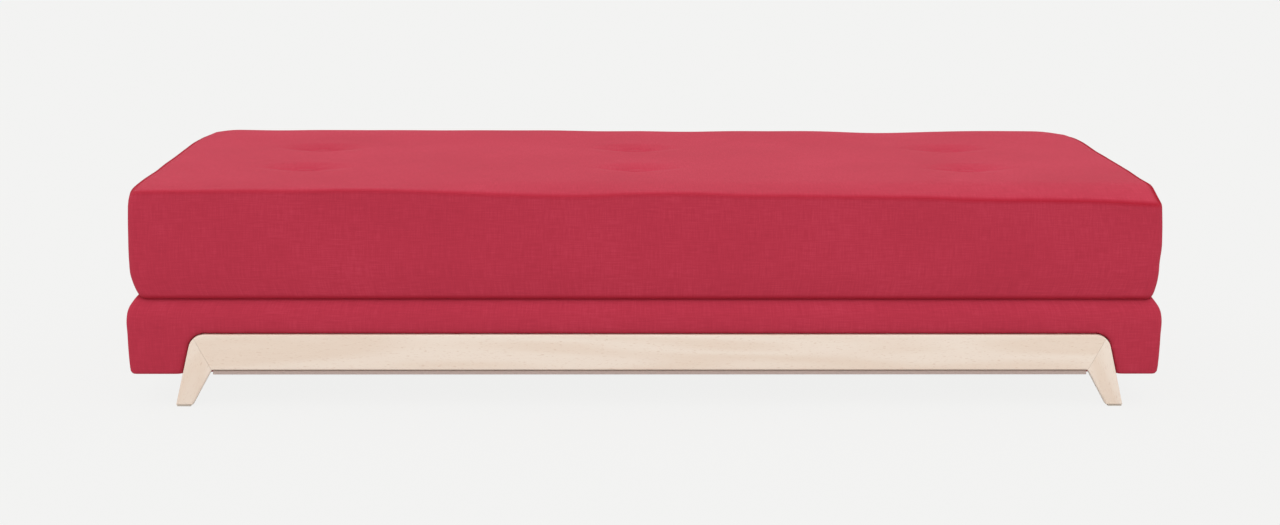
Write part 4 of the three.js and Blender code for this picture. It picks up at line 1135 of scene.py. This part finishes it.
def tube_along(path, radius, sides=6):
    """Points and faces of a closed tube that follows a path of points, with pointed ends."""
    path = np.array(path)
    ways = np.gradient(path, axis=0)
    ways /= np.linalg.norm(ways, axis=1)[:, None]
    up = np.array([0.31, 0.17, 0.93])
    points = [tuple(path[0])]
    for place, way in zip(path, ways):
        side = np.cross(way, up)
        side /= np.linalg.norm(side)
        over = np.cross(side, way)
        for step in range(sides):
            angle = 2 * math.pi * step / sides
            points.append(tuple(place + radius * (math.cos(angle) * side + math.sin(angle) * over)))
    points.append(tuple(path[-1]))
    faces = ring_faces(len(path), sides, first=1)
    last = 1 + (len(path) - 1) * sides
    for step in range(sides):
        after = (step + 1) % sides
        faces += [(0, 1 + after, 1 + step), (last + step, last + after, len(points) - 1)]
    return points, faces


def gather(parts):
    """Joins many lists of points and faces into one."""
    points, faces = [], []
    for more_points, more_faces in parts:
        faces += [tuple(k + len(points) for k in face) for face in more_faces]
        points += more_points
    return points, faces


def stitch_row(z, y, half):
    """Stitches along X at one height, each arched a little off the cloth."""
    count = int(2 * half / STITCH_PITCH)
    parts = []
    for number in range(count):
        start = -half + (number + 0.5) * 2 * half / count - STITCH_LENGTH / 2
        path = [
            (start + share * STITCH_LENGTH, y + lift * THREAD_RADIUS, z) for share, lift in STITCH_ARCH
        ]
        parts.append(tube_along(path, THREAD_RADIUS))
    return parts


print("stitches of", STITCH_LENGTH / MM, "mm stand about", STITCH_PITCH / MM, "mm apart")

# %% [markdown]
# The thread is twisted polyester. Its plies show as fine slanting ridges, which a wave texture that is
# turned across the thread draws well enough at this size.

# %% Sewing thread
def sewing_thread(name, dark, light):
    """Twisted polyester: fine slanting plies, a little shinier than the cloth."""
    material, tree = new_material(name)
    place = node(tree, "TexCoord").outputs["Object"]
    twist = {"Vector": place, "Rotation": (0, 0.7, 0.7), "Scale": (1.2 * MM,) * 3}
    slanted = node(tree, "Mapping", twist, vector_type="TEXTURE")
    plies = node(tree, "TexWave", {"Vector": slanted, "Scale": 0.5, "Distortion": 1.0}).outputs["Fac"]
    colour = node(tree, "Mix", {0: plies, 6: linear(dark), 7: linear(light)}, data_type="RGBA")
    relief = node(tree, "Bump", {"Height": plies, "Distance": 0.1 * MM})
    looks = {"Base Color": colour.outputs[2], "Normal": relief, "Roughness": 0.55}
    shader = node(tree, "BsdfPrincipled", {**looks, "Sheen Weight": 0.1})
    node(tree, "OutputMaterial", {"Surface": shader})
    return material


thread = sewing_thread("red sewing thread", "#9c2438", "#b8364b")
for name, body, z in (
    ("band_stitches_base", "base", band_low.z + STITCH_INSET),
    ("band_stitches_mattress", "mattress", over_high.z - STITCH_INSET),
):
    row = stitch_row(z, band_depth(z) + STITCH_LIFT, BAND_HALF - STITCH_END)
    stitches = make_piece(name, *gather(row), material=thread)
    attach(stitches, body)
print("band stitches:", len(row), "in each row")

# %% [markdown]
# ## Zip
# The cover comes off through a zip in its right-hand end. The zip lies at the bottom of a folded
# placket: a woven tape on either side, a row of moulded teeth on each, and a slider with its pull. The
# teeth of the two rows stand half a pitch apart, so they mesh. Each is a small block that narrows
# outwards, as a moulded tooth does. Real teeth of this size stand 1.25 mm apart.

# %% Zip tape and teeth
ZIP_HALF = zip_high.y
TAPE_LINES, TAPE_LIFT = 79, 0.4 * MM
# Half of the tape's section in millimetres: the place across it and the height
TAPE_SECTION = [(-6.7, 0), (-4, 0.1), (-2.6, 0.5), (-1, 0.1), (0, -0.1)]
TAPE_SECTION += [(-z, x) for z, x in reversed(TAPE_SECTION[:-1])]
TOOTH_PITCH, TOOTH_SHIFT, TOOTH_LIFT = 2.5 * MM, 0.8 * MM, 0.6 * MM
TOOTH_LENGTH, TOOTH_WIDTH = 4.4 * MM, 1.5 * MM
# Height, width and length of a tooth's three rings, as shares of its own
TOOTH_RINGS = ((0, 0.9, 0.92), (0.6, 1, 1), (1, 0.62, 0.8))
tape_x = zip_low.x + TAPE_LIFT
teeth_x = (zip_low.x + TOOTH_LIFT, zip_high.x)


def tape():
    """A flat strip with a small bead along the edge that the teeth are moulded on."""
    lines_y = np.linspace(-ZIP_HALF, ZIP_HALF, TAPE_LINES)
    points = [(tape_x + x * MM, y, zip_middle + z * MM) for y in lines_y for z, x in TAPE_SECTION]
    faces = [(a, d, c, b) for a, b, c, d in grid_faces(TAPE_LINES, len(TAPE_SECTION))]
    cloth = [(points[c][1], points[c][2]) for face in faces for c in face]
    return points, faces, cloth


def tooth(y, side):
    """Three rings of four corners: the foot on the tape, the widest place, and the crown."""
    points = []
    for x, width, length in TOOTH_RINGS:
        half_y, half_z = width * TOOTH_WIDTH / 2, length * TOOTH_LENGTH / 2
        place_x = teeth_x[0] + x * (teeth_x[1] - teeth_x[0])
        centre_z = zip_middle + side * TOOTH_SHIFT
        corners = ((-half_y, -half_z), (half_y, -half_z), (half_y, half_z), (-half_y, half_z))
        points += [(place_x, y + dy, centre_z + dz) for dy, dz in corners]
    return points, [(0, 3, 2, 1), (8, 9, 10, 11), *ring_faces(3, 4)]


tooth_count = int(2 * ZIP_HALF / TOOTH_PITCH) - 2
teeth = gather(
    tooth((k + 0.25 * side - (tooth_count - 1) / 2) * TOOTH_PITCH, side)
    for k in range(tooth_count)
    for side in (-1, 1)
)
print("zip:", tooth_count, "teeth in each row")

# %% [markdown]
# Zip tape is woven in a close herringbone, and the teeth are moulded from acetal, a smooth and slightly
# waxy plastic. Both are a little darker than the cover.

# %% Zip tape cloth and moulded plastic
def zip_tape_cloth(name, dark, light):
    """A close herringbone of fine polyester, drawn in bands along the tape."""
    material, tree = new_material(name)
    cloth = node(tree, "UVMap", uv_map="cloth")
    ribs = []
    for slant in (0.6, -0.6):
        lie = {"Vector": cloth, "Rotation": (0, 0, slant), "Scale": (1.1 * MM,) * 3}
        turned = node(tree, "Mapping", lie, vector_type="TEXTURE")
        ribs.append(node(tree, "TexWave", {"Vector": turned, "Scale": 0.3}).outputs["Fac"])
    bands = node(tree, "TexChecker", {"Vector": cloth, "Scale": 1 / (2.2 * MM)})
    weave = node(tree, "Mix", {0: bands.outputs["Fac"], 2: ribs[0], 3: ribs[1]})
    colour = node(tree, "Mix", {0: weave, 6: linear(dark), 7: linear(light)}, data_type="RGBA")
    relief = node(tree, "Bump", {"Height": weave, "Distance": 0.15 * MM})
    looks = {"Base Color": colour.outputs[2], "Normal": relief, "Roughness": 0.75}
    shader = node(tree, "BsdfPrincipled", {**looks, "Specular IOR Level": 0.3})
    node(tree, "OutputMaterial", {"Surface": shader})
    return material


def moulded_plastic(name, dark, light):
    """Acetal: smooth, a little waxy, with faint flow marks."""
    material, tree = new_material(name)
    place = node(tree, "TexCoord").outputs["Object"]
    flow = node(tree, "TexNoise", {"Vector": place, "Scale": 1 / (2 * MM), "Detail": 2.0})
    colour = node(tree, "Mix", {0: flow, 6: linear(dark), 7: linear(light)}, data_type="RGBA")
    relief = node(tree, "Bump", {"Height": flow, "Strength": 0.3, "Distance": 0.1 * MM})
    roughness = node(tree, "MapRange", {"Value": flow, "To Min": 0.3, "To Max": 0.5})
    looks = {"Base Color": colour.outputs[2], "Normal": relief, "Roughness": roughness}
    shader = node(tree, "BsdfPrincipled", {**looks, "Subsurface Weight": 0.05})
    node(tree, "OutputMaterial", {"Surface": shader})
    return material


tape_points, tape_faces, tape_map = tape()
tape_cloth = zip_tape_cloth("red herringbone zip tape", "#7c1f30", "#98303f")
zip_tape = make_piece("zip_tape", tape_points, tape_faces, tape_map, tape_cloth)
acetal = moulded_plastic("red acetal teeth", "#8b2334", "#a53246")
zip_teeth = make_piece("zip_teeth", *teeth, material=acetal)
zip_teeth.data.polygons.foreach_set("use_smooth", np.zeros(len(teeth[1]), bool))
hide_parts("mattress_zip")
for piece in (zip_tape, zip_teeth):
    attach(piece, "mattress")
print("zip teeth:", 2 * tooth_count)

# %% [markdown]
# The slider is a casting: a plate over the chain, two lips that reach round it, a bridge on its back,
# and a pull that hangs on the bridge by its eye. Each is drawn as an outline and given thickness, with
# its edges eased.

# %% Slider and pull
SLIDER_REACH = 6.5 * MM
slider_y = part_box("zip_slider")[0].y + SLIDER_REACH
plate_x = (zip_high.x + 0.35 * MM, zip_high.x + 1.7 * MM)
lip_x = (zip_low.x + 1.4 * MM, plate_x[0])


def eased_plate(outline, low, high, ease):
    """A plate from an outline in (y, z), with its edges eased by insetting the outer rings."""
    outline = np.array(outline)
    middle = outline.mean(0)
    size = np.abs(outline - middle).max(0)
    rings = [(low, ease), (low + ease, 0), (high - ease, 0), (high, ease)]
    points = []
    count = len(outline)
    for x, inset in rings:
        points += [(x, y, z) for y, z in middle + (outline - middle) * (1 - inset / size)]
    faces = ring_faces(len(rings), count)
    faces += [tuple(reversed(range(count))), tuple(range(3 * count, 4 * count))]
    return points, faces


def rounded(half_y, half_z, radius, centre=(0.0, 0.0), taper=1.0, steps=4):
    """A rounded rectangle in (y, z) that narrows towards +Y by taper."""
    outline = []
    for sign_y, sign_z, start in ((1, 1, 0), (-1, 1, 90), (-1, -1, 180), (1, -1, 270)):
        for step in range(steps + 1):
            angle = math.radians(start + 90 * step / steps)
            y = sign_y * (half_y - radius) + radius * math.cos(angle)
            z = sign_z * (half_z - radius) + radius * math.sin(angle)
            z *= 1 - (1 - taper) * (y / half_y + 1) / 2
            outline.append((centre[0] + y, centre[1] + z))
    return outline


def pull_with_eye(y, length, half_z, eye, low, high):
    """A flat pull whose outline and eye have as many points, joined by rings of faces."""
    steps, shrink, ease = 32, 0.2 * MM, 0.25 * MM
    directions = [2 * math.pi * step / steps for step in range(steps)]
    directions = [(math.cos(angle), math.sin(angle)) for angle in directions]
    points, faces = [], []
    for x, grow in ((low, -shrink), (low + ease, 0), (high - ease, 0), (high, -shrink)):
        for c, s in directions:
            stretch = length - half_z if c > 0 else 0
            points.append((x, y + stretch + (half_z + grow) * c, zip_middle + (half_z + grow) * s))
        for c, s in directions:
            points.append((x, y + (eye - grow) * c * 1.2, zip_middle + (eye - grow) * s))
    layer = 2 * steps
    for k in range(steps):
        after = (k + 1) % steps
        for ring in range(3):
            out, up = ring * layer, (ring + 1) * layer
            faces.append((out + k, out + after, up + after, up + k))
            inner, inner_up = out + steps, up + steps
            faces.append((inner + after, inner + k, inner_up + k, inner_up + after))
        top = 3 * layer
        faces.append((top + k, top + after, top + steps + after, top + steps + k))
        faces.append((after, k, steps + k, steps + after))
    return points, faces


print("the slider's middle stands at", round(slider_y, 3), "metres along the zip")

# %% [markdown]
# The casting's parts are put together where the slider stands at rest, at the front end of its chain.
# They overlap where the real casting is one piece, which no one can see from outside.

# %% Put the slider together
place = (slider_y, zip_middle)
plate_outline = rounded(half_y=6.3 * MM, half_z=4.8 * MM, radius=1.8 * MM, centre=place, taper=0.78)
plate = eased_plate(plate_outline, *plate_x, ease=0.35 * MM)
lips = []
for side in (-1, 1):
    place = (slider_y, zip_middle + side * 4 * MM)
    lip_outline = rounded(half_y=6 * MM, half_z=0.7 * MM, radius=0.3 * MM, centre=place)
    lips.append(eased_plate(lip_outline, *lip_x, ease=0.12 * MM))
BRIDGE_RISE, BRIDGE_HALF, BRIDGE_STEPS = 1.9 * MM, 4.2 * MM, 12
bridge_arc = []
for step in range(BRIDGE_STEPS + 1):
    angle = math.pi * step / BRIDGE_STEPS
    rise = plate_x[1] - 0.2 * MM + BRIDGE_RISE * math.sin(angle)
    bridge_arc.append((rise, slider_y - BRIDGE_HALF * math.cos(angle), zip_middle))
bridge = tube_along(bridge_arc, radius=0.65 * MM, sides=10)
pull = pull_with_eye(
    y=slider_y - 1 * MM,
    length=22 * MM,
    half_z=3 * MM,
    eye=1.5 * MM,
    low=plate_x[1] + 0.15 * MM,
    high=plate_x[1] + 1.15 * MM,
)
slider = make_piece("zip_slider_and_pull", *gather([plate, *lips, bridge, pull]))
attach(slider, "zip_slider")
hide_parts("zip_slider")
print("slider and pull:", len(slider.data.polygons), "faces")

# %% [markdown]
# ## Wood
# The leg frames are pale beech under a matt lacquer. On a flat-sawn face the year rings show as long
# stripes and tall arches, which are the contour lines of a slowly rising surface. So stretched noise
# is drawn as contour lines. On top lie fine fibres and the short dark flecks that mark beech. The grain
# runs along each piece, so a leg's grain stands on its slope and meets the rail's grain at the mitre.
# The hidden box is plain pine, with wider and warmer rings, and the slats are beech plywood.

# %% Wood
RING_COUNT = 30.0
FIBRE = (50 * MM, 1.1 * MM, 1.1 * MM)
FLECK = (9 * MM, 1.3 * MM, 1.3 * MM)
BEECH_ARCH = (700 * MM, 60 * MM, 60 * MM)
PINE_ARCH = (900 * MM, 110 * MM, 110 * MM)
LEG_LEAN = math.radians(69)
ALONG_X, ALONG_Y, ALONG_Z = (0, 0, 0), (0, 0, math.radians(90)), (0, math.radians(90), 0)


def sawn_wood(name, early, late, fleck, turn, arch, roughness):
    """Wood whose grain runs along the turned X axis. arch is the size of its arches, in metres."""
    material, tree = new_material(name)
    place = node(tree, "TexCoord").outputs["Object"]

    # Three noises are drawn out along the grain: arches, fibres and flecks
    drawn_out = []
    for size, detail in (
        (arch, {"Detail": 1.0}),
        (FIBRE, {"Detail": 3.0, "Roughness": 0.6}),
        (FLECK, {"Detail": 1.0}),
    ):
        lie = {"Vector": place, "Rotation": turn, "Scale": size}
        along = node(tree, "Mapping", lie, vector_type="TEXTURE")
        drawn_out.append(node(tree, "TexNoise", {"Vector": along, "Scale": 1.0, **detail}))
    surface, fibres, marks = drawn_out

    contours = node(tree, "Math", {0: surface, 1: RING_COUNT}, operation="MULTIPLY")
    wave = node(tree, "Math", {0: contours}, operation="SINE")
    rings = node(tree, "MapRange", {"Value": wave, "From Min": -1.0, "From Max": 1.0})
    grain = node(tree, "Mix", {0: 0.45, 2: rings, 3: fibres})
    body = node(tree, "Mix", {0: grain, 6: linear(early), 7: linear(late)}, data_type="RGBA")
    few = {"From Min": 0.64, "From Max": 0.72, "To Max": 0.4}
    flecks = node(tree, "MapRange", {"Value": marks, **few})
    tints = {6: body.outputs[2], 7: linear(fleck)}
    colour = node(tree, "Mix", {0: flecks, **tints}, data_type="RGBA")
    height = node(tree, "Math", {0: grain, 1: flecks}, operation="SUBTRACT")
    relief = node(tree, "Bump", {"Height": height, "Strength": 0.2, "Distance": 0.2 * MM})
    shine = {"To Min": roughness - 0.05, "To Max": roughness + 0.07}
    gloss = node(tree, "MapRange", {"Value": grain, **shine})
    looks = {"Base Color": colour.outputs[2], "Normal": relief, "Roughness": gloss}
    shader = node(tree, "BsdfPrincipled", {**looks, "Specular IOR Level": 0.4})
    node(tree, "OutputMaterial", {"Surface": shader})
    return material


print("the beech's arches are", round(BEECH_ARCH[0] / BEECH_ARCH[1], 1), "times as long as wide")

# %% [markdown]
# The wooden pieces keep their meshes from the CAD model and only get a finish. The same recipe is used
# with another turn for the rails, for the legs of each side and for the boards, because a board's grain
# runs along it, whichever way it lies.

# %% Dress the wooden pieces
beech = ("#f3e6d8", "#e8d4c1", "#cfb097")
pine = ("#e3cda4", "#cfae7c", "#a97f50")
ply = ("#e4cda9", "#d4b88f", "#b8925f")
rail_wood = sawn_wood("lacquered beech, rails", *beech, ALONG_X, BEECH_ARCH, 0.45)
leg_wood = {}
for side, sign in (("left", -1), ("right", 1)):
    lean = (0, sign * LEG_LEAN, 0)
    leg_wood[side] = sawn_wood(f"lacquered beech, {side} legs", *beech, lean, BEECH_ARCH, 0.45)
box_wood_x = sawn_wood("sawn pine, grain along the bed", *pine, ALONG_X, PINE_ARCH, 0.7)
box_wood_y = sawn_wood("sawn pine, grain across the bed", *pine, ALONG_Y, PINE_ARCH, 0.7)
box_wood_z = sawn_wood("sawn pine, grain upright", *pine, ALONG_Z, PINE_ARCH, 0.7)
slat_wood = sawn_wood("beech plywood slats", *ply, ALONG_Y, BEECH_ARCH, 0.5)


def dress(name, material):
    """Gives one carried-over node its finish."""
    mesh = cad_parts[name].data
    mesh.materials.clear()
    mesh.materials.append(material)


for place in ("front", "rear"):
    dress(f"{place}_rail", rail_wood)
    dress(f"{place}_board", box_wood_x)
    dress(f"{place}_slat_ledger", box_wood_x)
    for side in ("left", "right"):
        dress(f"{place}_{side}_leg", leg_wood[side])
        dress(f"{place}_{side}_tenon", box_wood_z)
        dress(f"{place}_{side}_corner_block", box_wood_z)
dress("centre_beam", box_wood_x)
for side in ("left", "right"):
    dress(f"{side}_board", box_wood_y)
slats = [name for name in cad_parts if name.startswith("slat_")]
for name in slats:
    dress(name, slat_wood)
print("wood on", len(slats), "slats and the frames")

# %% [markdown]
# ## Foam, felt and steel
# Three finishes are left. Foam is a froth of open cells, so its surface is all small pits, and it
# yellows unevenly. The glides under the feet are pressed wool felt, fibres lying every way. The bolts,
# staples and zip slider are steel with a thin coat of zinc, which is metal with a faintly cloudy shine.

# %% Foam, felt and steel
def open_cell_foam(name, dark, light):
    """Pits of many sizes, with painted shade in the deep ones."""
    material, tree = new_material(name)
    place = node(tree, "TexCoord").outputs["Object"]
    cells = node(tree, "TexVoronoi", {"Vector": place, "Scale": 1 / (1.8 * MM)})
    aged = node(tree, "TexNoise", {"Vector": place, "Scale": 1 / (160 * MM), "Detail": 2.0})
    tone = node(tree, "Mix", {0: 0.35, 2: cells, 3: aged})
    colour = node(tree, "Mix", {0: tone, 6: linear(dark), 7: linear(light)}, data_type="RGBA")
    relief = node(tree, "Bump", {"Height": cells, "Strength": 0.7, "Distance": 0.8 * MM})
    looks = {"Base Color": colour.outputs[2], "Normal": relief, "Roughness": 0.95}
    shader = node(tree, "BsdfPrincipled", {**looks, "Specular IOR Level": 0.2})
    node(tree, "OutputMaterial", {"Surface": shader})
    return material


def pressed_felt(name, dark, light):
    """Short fibres in a tangle, drawn as one twisted noise of many scales."""
    material, tree = new_material(name)
    place = node(tree, "TexCoord").outputs["Object"]
    hairs = {"Vector": place, "Scale": 1 / (1.5 * MM), "Detail": 6.0, "Distortion": 1.5}
    tangle = node(tree, "TexNoise", hairs)
    colour = node(tree, "Mix", {0: tangle, 6: linear(dark), 7: linear(light)}, data_type="RGBA")
    relief = node(tree, "Bump", {"Height": tangle, "Distance": 0.4 * MM})
    looks = {"Base Color": colour.outputs[2], "Normal": relief, "Roughness": 0.95}
    shader = node(tree, "BsdfPrincipled", {**looks, "Sheen Weight": 0.2})
    node(tree, "OutputMaterial", {"Surface": shader})
    return material


def zinc_plated_steel(name, dark, light):
    """Metal whose shine is broken by the soft clouds of a thin zinc coat and fine scratches."""
    material, tree = new_material(name)
    place = node(tree, "TexCoord").outputs["Object"]
    clouds = node(tree, "TexNoise", {"Vector": place, "Scale": 1 / (4 * MM), "Detail": 3.0})
    lie = {"Vector": place, "Scale": (0.3 * MM, 6 * MM, 0.3 * MM)}
    drawn = node(tree, "Mapping", lie, vector_type="TEXTURE")
    scratches = node(tree, "TexNoise", {"Vector": drawn, "Scale": 1.0, "Detail": 2.0})
    colour = node(tree, "Mix", {0: clouds, 6: linear(dark), 7: linear(light)}, data_type="RGBA")
    roughness = node(tree, "MapRange", {"Value": clouds, "To Min": 0.24, "To Max": 0.46})
    relief = node(tree, "Bump", {"Height": scratches, "Strength": 0.15, "Distance": 0.1 * MM})
    looks = {"Base Color": colour.outputs[2], "Normal": relief, "Roughness": roughness}
    shader = node(tree, "BsdfPrincipled", {**looks, "Metallic": 1.0})
    node(tree, "OutputMaterial", {"Surface": shader})
    return material


foam = open_cell_foam("cream open-cell foam", "#cfc4a4", "#f1ebdb")
felt = pressed_felt("grey-brown wool felt", "#b9aea2", "#ded5ca")
steel = zinc_plated_steel("zinc-plated steel", "#b4b7bb", "#c9ccd0")
slider.data.materials.append(steel)
for name in ("base_edge_padding", "base_top_foam"):
    dress(name, foam)
for place in ("front", "rear"):
    for side in ("left", "right"):
        dress(f"{place}_{side}_glide", felt)
    for number in (1, 2, 3):
        dress(f"{place}_bolt_{number}", steel)
print("finishes in all:", len(bpy.data.materials))

# %% [markdown]
# The mattress's foam block takes the shape that its cover settled in. So it is cut from the cover's own
# points: every second line of them, all drawn in towards the middle by the room that the wadding and
# the seam allowances take up, with a shallow channel behind the zip.

# %% The foam block
WADDING = 8 * MM
ZIP_CHANNEL, CHANNEL_SIDES = 3 * MM, (10 * MM, 26 * MM)


def every_second(marks):
    """The first and last mark, and every second one between them."""
    return [marks[0], *marks[2:-1:2], marks[-1]]


block_lines = [every_second(lines) for lines in mattress.lines]
block = Cushion(MATTRESS_HALF, MATTRESS_CORNER, *block_lines, every_second(mattress_levels))
finder = kdtree.KDTree(len(as_cut))
for number, point in enumerate(as_cut):
    finder.insert(point, number)
finder.balance()
same = [finder.find(point)[1] for point in block.points]
half_sizes = (cover_high - cover_low) / 2
centre = np.array((cover_high + cover_low) / 2)
drawn_in = [1 - WADDING / half for half in half_sizes]
block.points = centre + (settled[same] - centre) * drawn_in
past_zip = smoothstep(np.abs(block.points[:, 2] - zip_middle), *CHANNEL_SIDES)
deepest = zip_low.x - ZIP_CHANNEL + 2 * (MATTRESS_HALF[0] - zip_low.x) * past_zip
block.points[:, 0] = np.minimum(block.points[:, 0], deepest)
foam_block = make_piece("mattress_foam_block", block.points, block.faces, material=foam)
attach(foam_block, "mattress")
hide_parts("mattress_core")
print("foam block:", len(block.faces), "cells")

# %% [markdown]
# Staples hold the dust cover round its hem. A staple's crown is a flat wire with rounded shoulders that
# turn down into the wood, so each is a short tube that dives in at both ends.

# %% Staples
STAPLE_WIDTH, STAPLE_WIRE = 10 * MM, 0.45 * MM
STAPLE_STEP, STAPLE_INSET = 62 * MM, 7 * MM
# Place along the crown as a share of its width, and height in millimetres
STAPLE_SHAPE = [(-0.5, 0.9), (-0.48, 0.1), (-0.4, -0.25), (0.4, -0.25), (0.48, 0.1), (0.5, 0.9)]


def staple(x, y, angle):
    """One staple's crown under the sheet, turned by angle."""
    cos, sin = math.cos(angle), math.sin(angle)
    path = [
        (x + along * STAPLE_WIDTH * cos, y + along * STAPLE_WIDTH * sin, sheet_z + lift * MM)
        for along, lift in STAPLE_SHAPE
    ]
    return tube_along(path, STAPLE_WIRE)


def along_edge(half):
    """Evenly spaced places along an edge of this half length."""
    count = int(2 * half / STAPLE_STEP)
    return [(k + 0.5) * 2 * half / count - half for k in range(count)]


staple_x = sheet_half[0] - STAPLE_INSET
staple_y = sheet_half[1] - STAPLE_INSET
across, upright = 0.12, math.pi / 2 - 0.1
staples = [staple(x, side * staple_y, across) for x in along_edge(staple_x) for side in (-1, 1)]
staples += [staple(side * staple_x, y, upright) for y in along_edge(staple_y) for side in (-1, 1)]
staple_piece = make_piece("dust_cover_staples", *gather(staples), material=steel)
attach(staple_piece, "base")
print("staples:", len(staples))
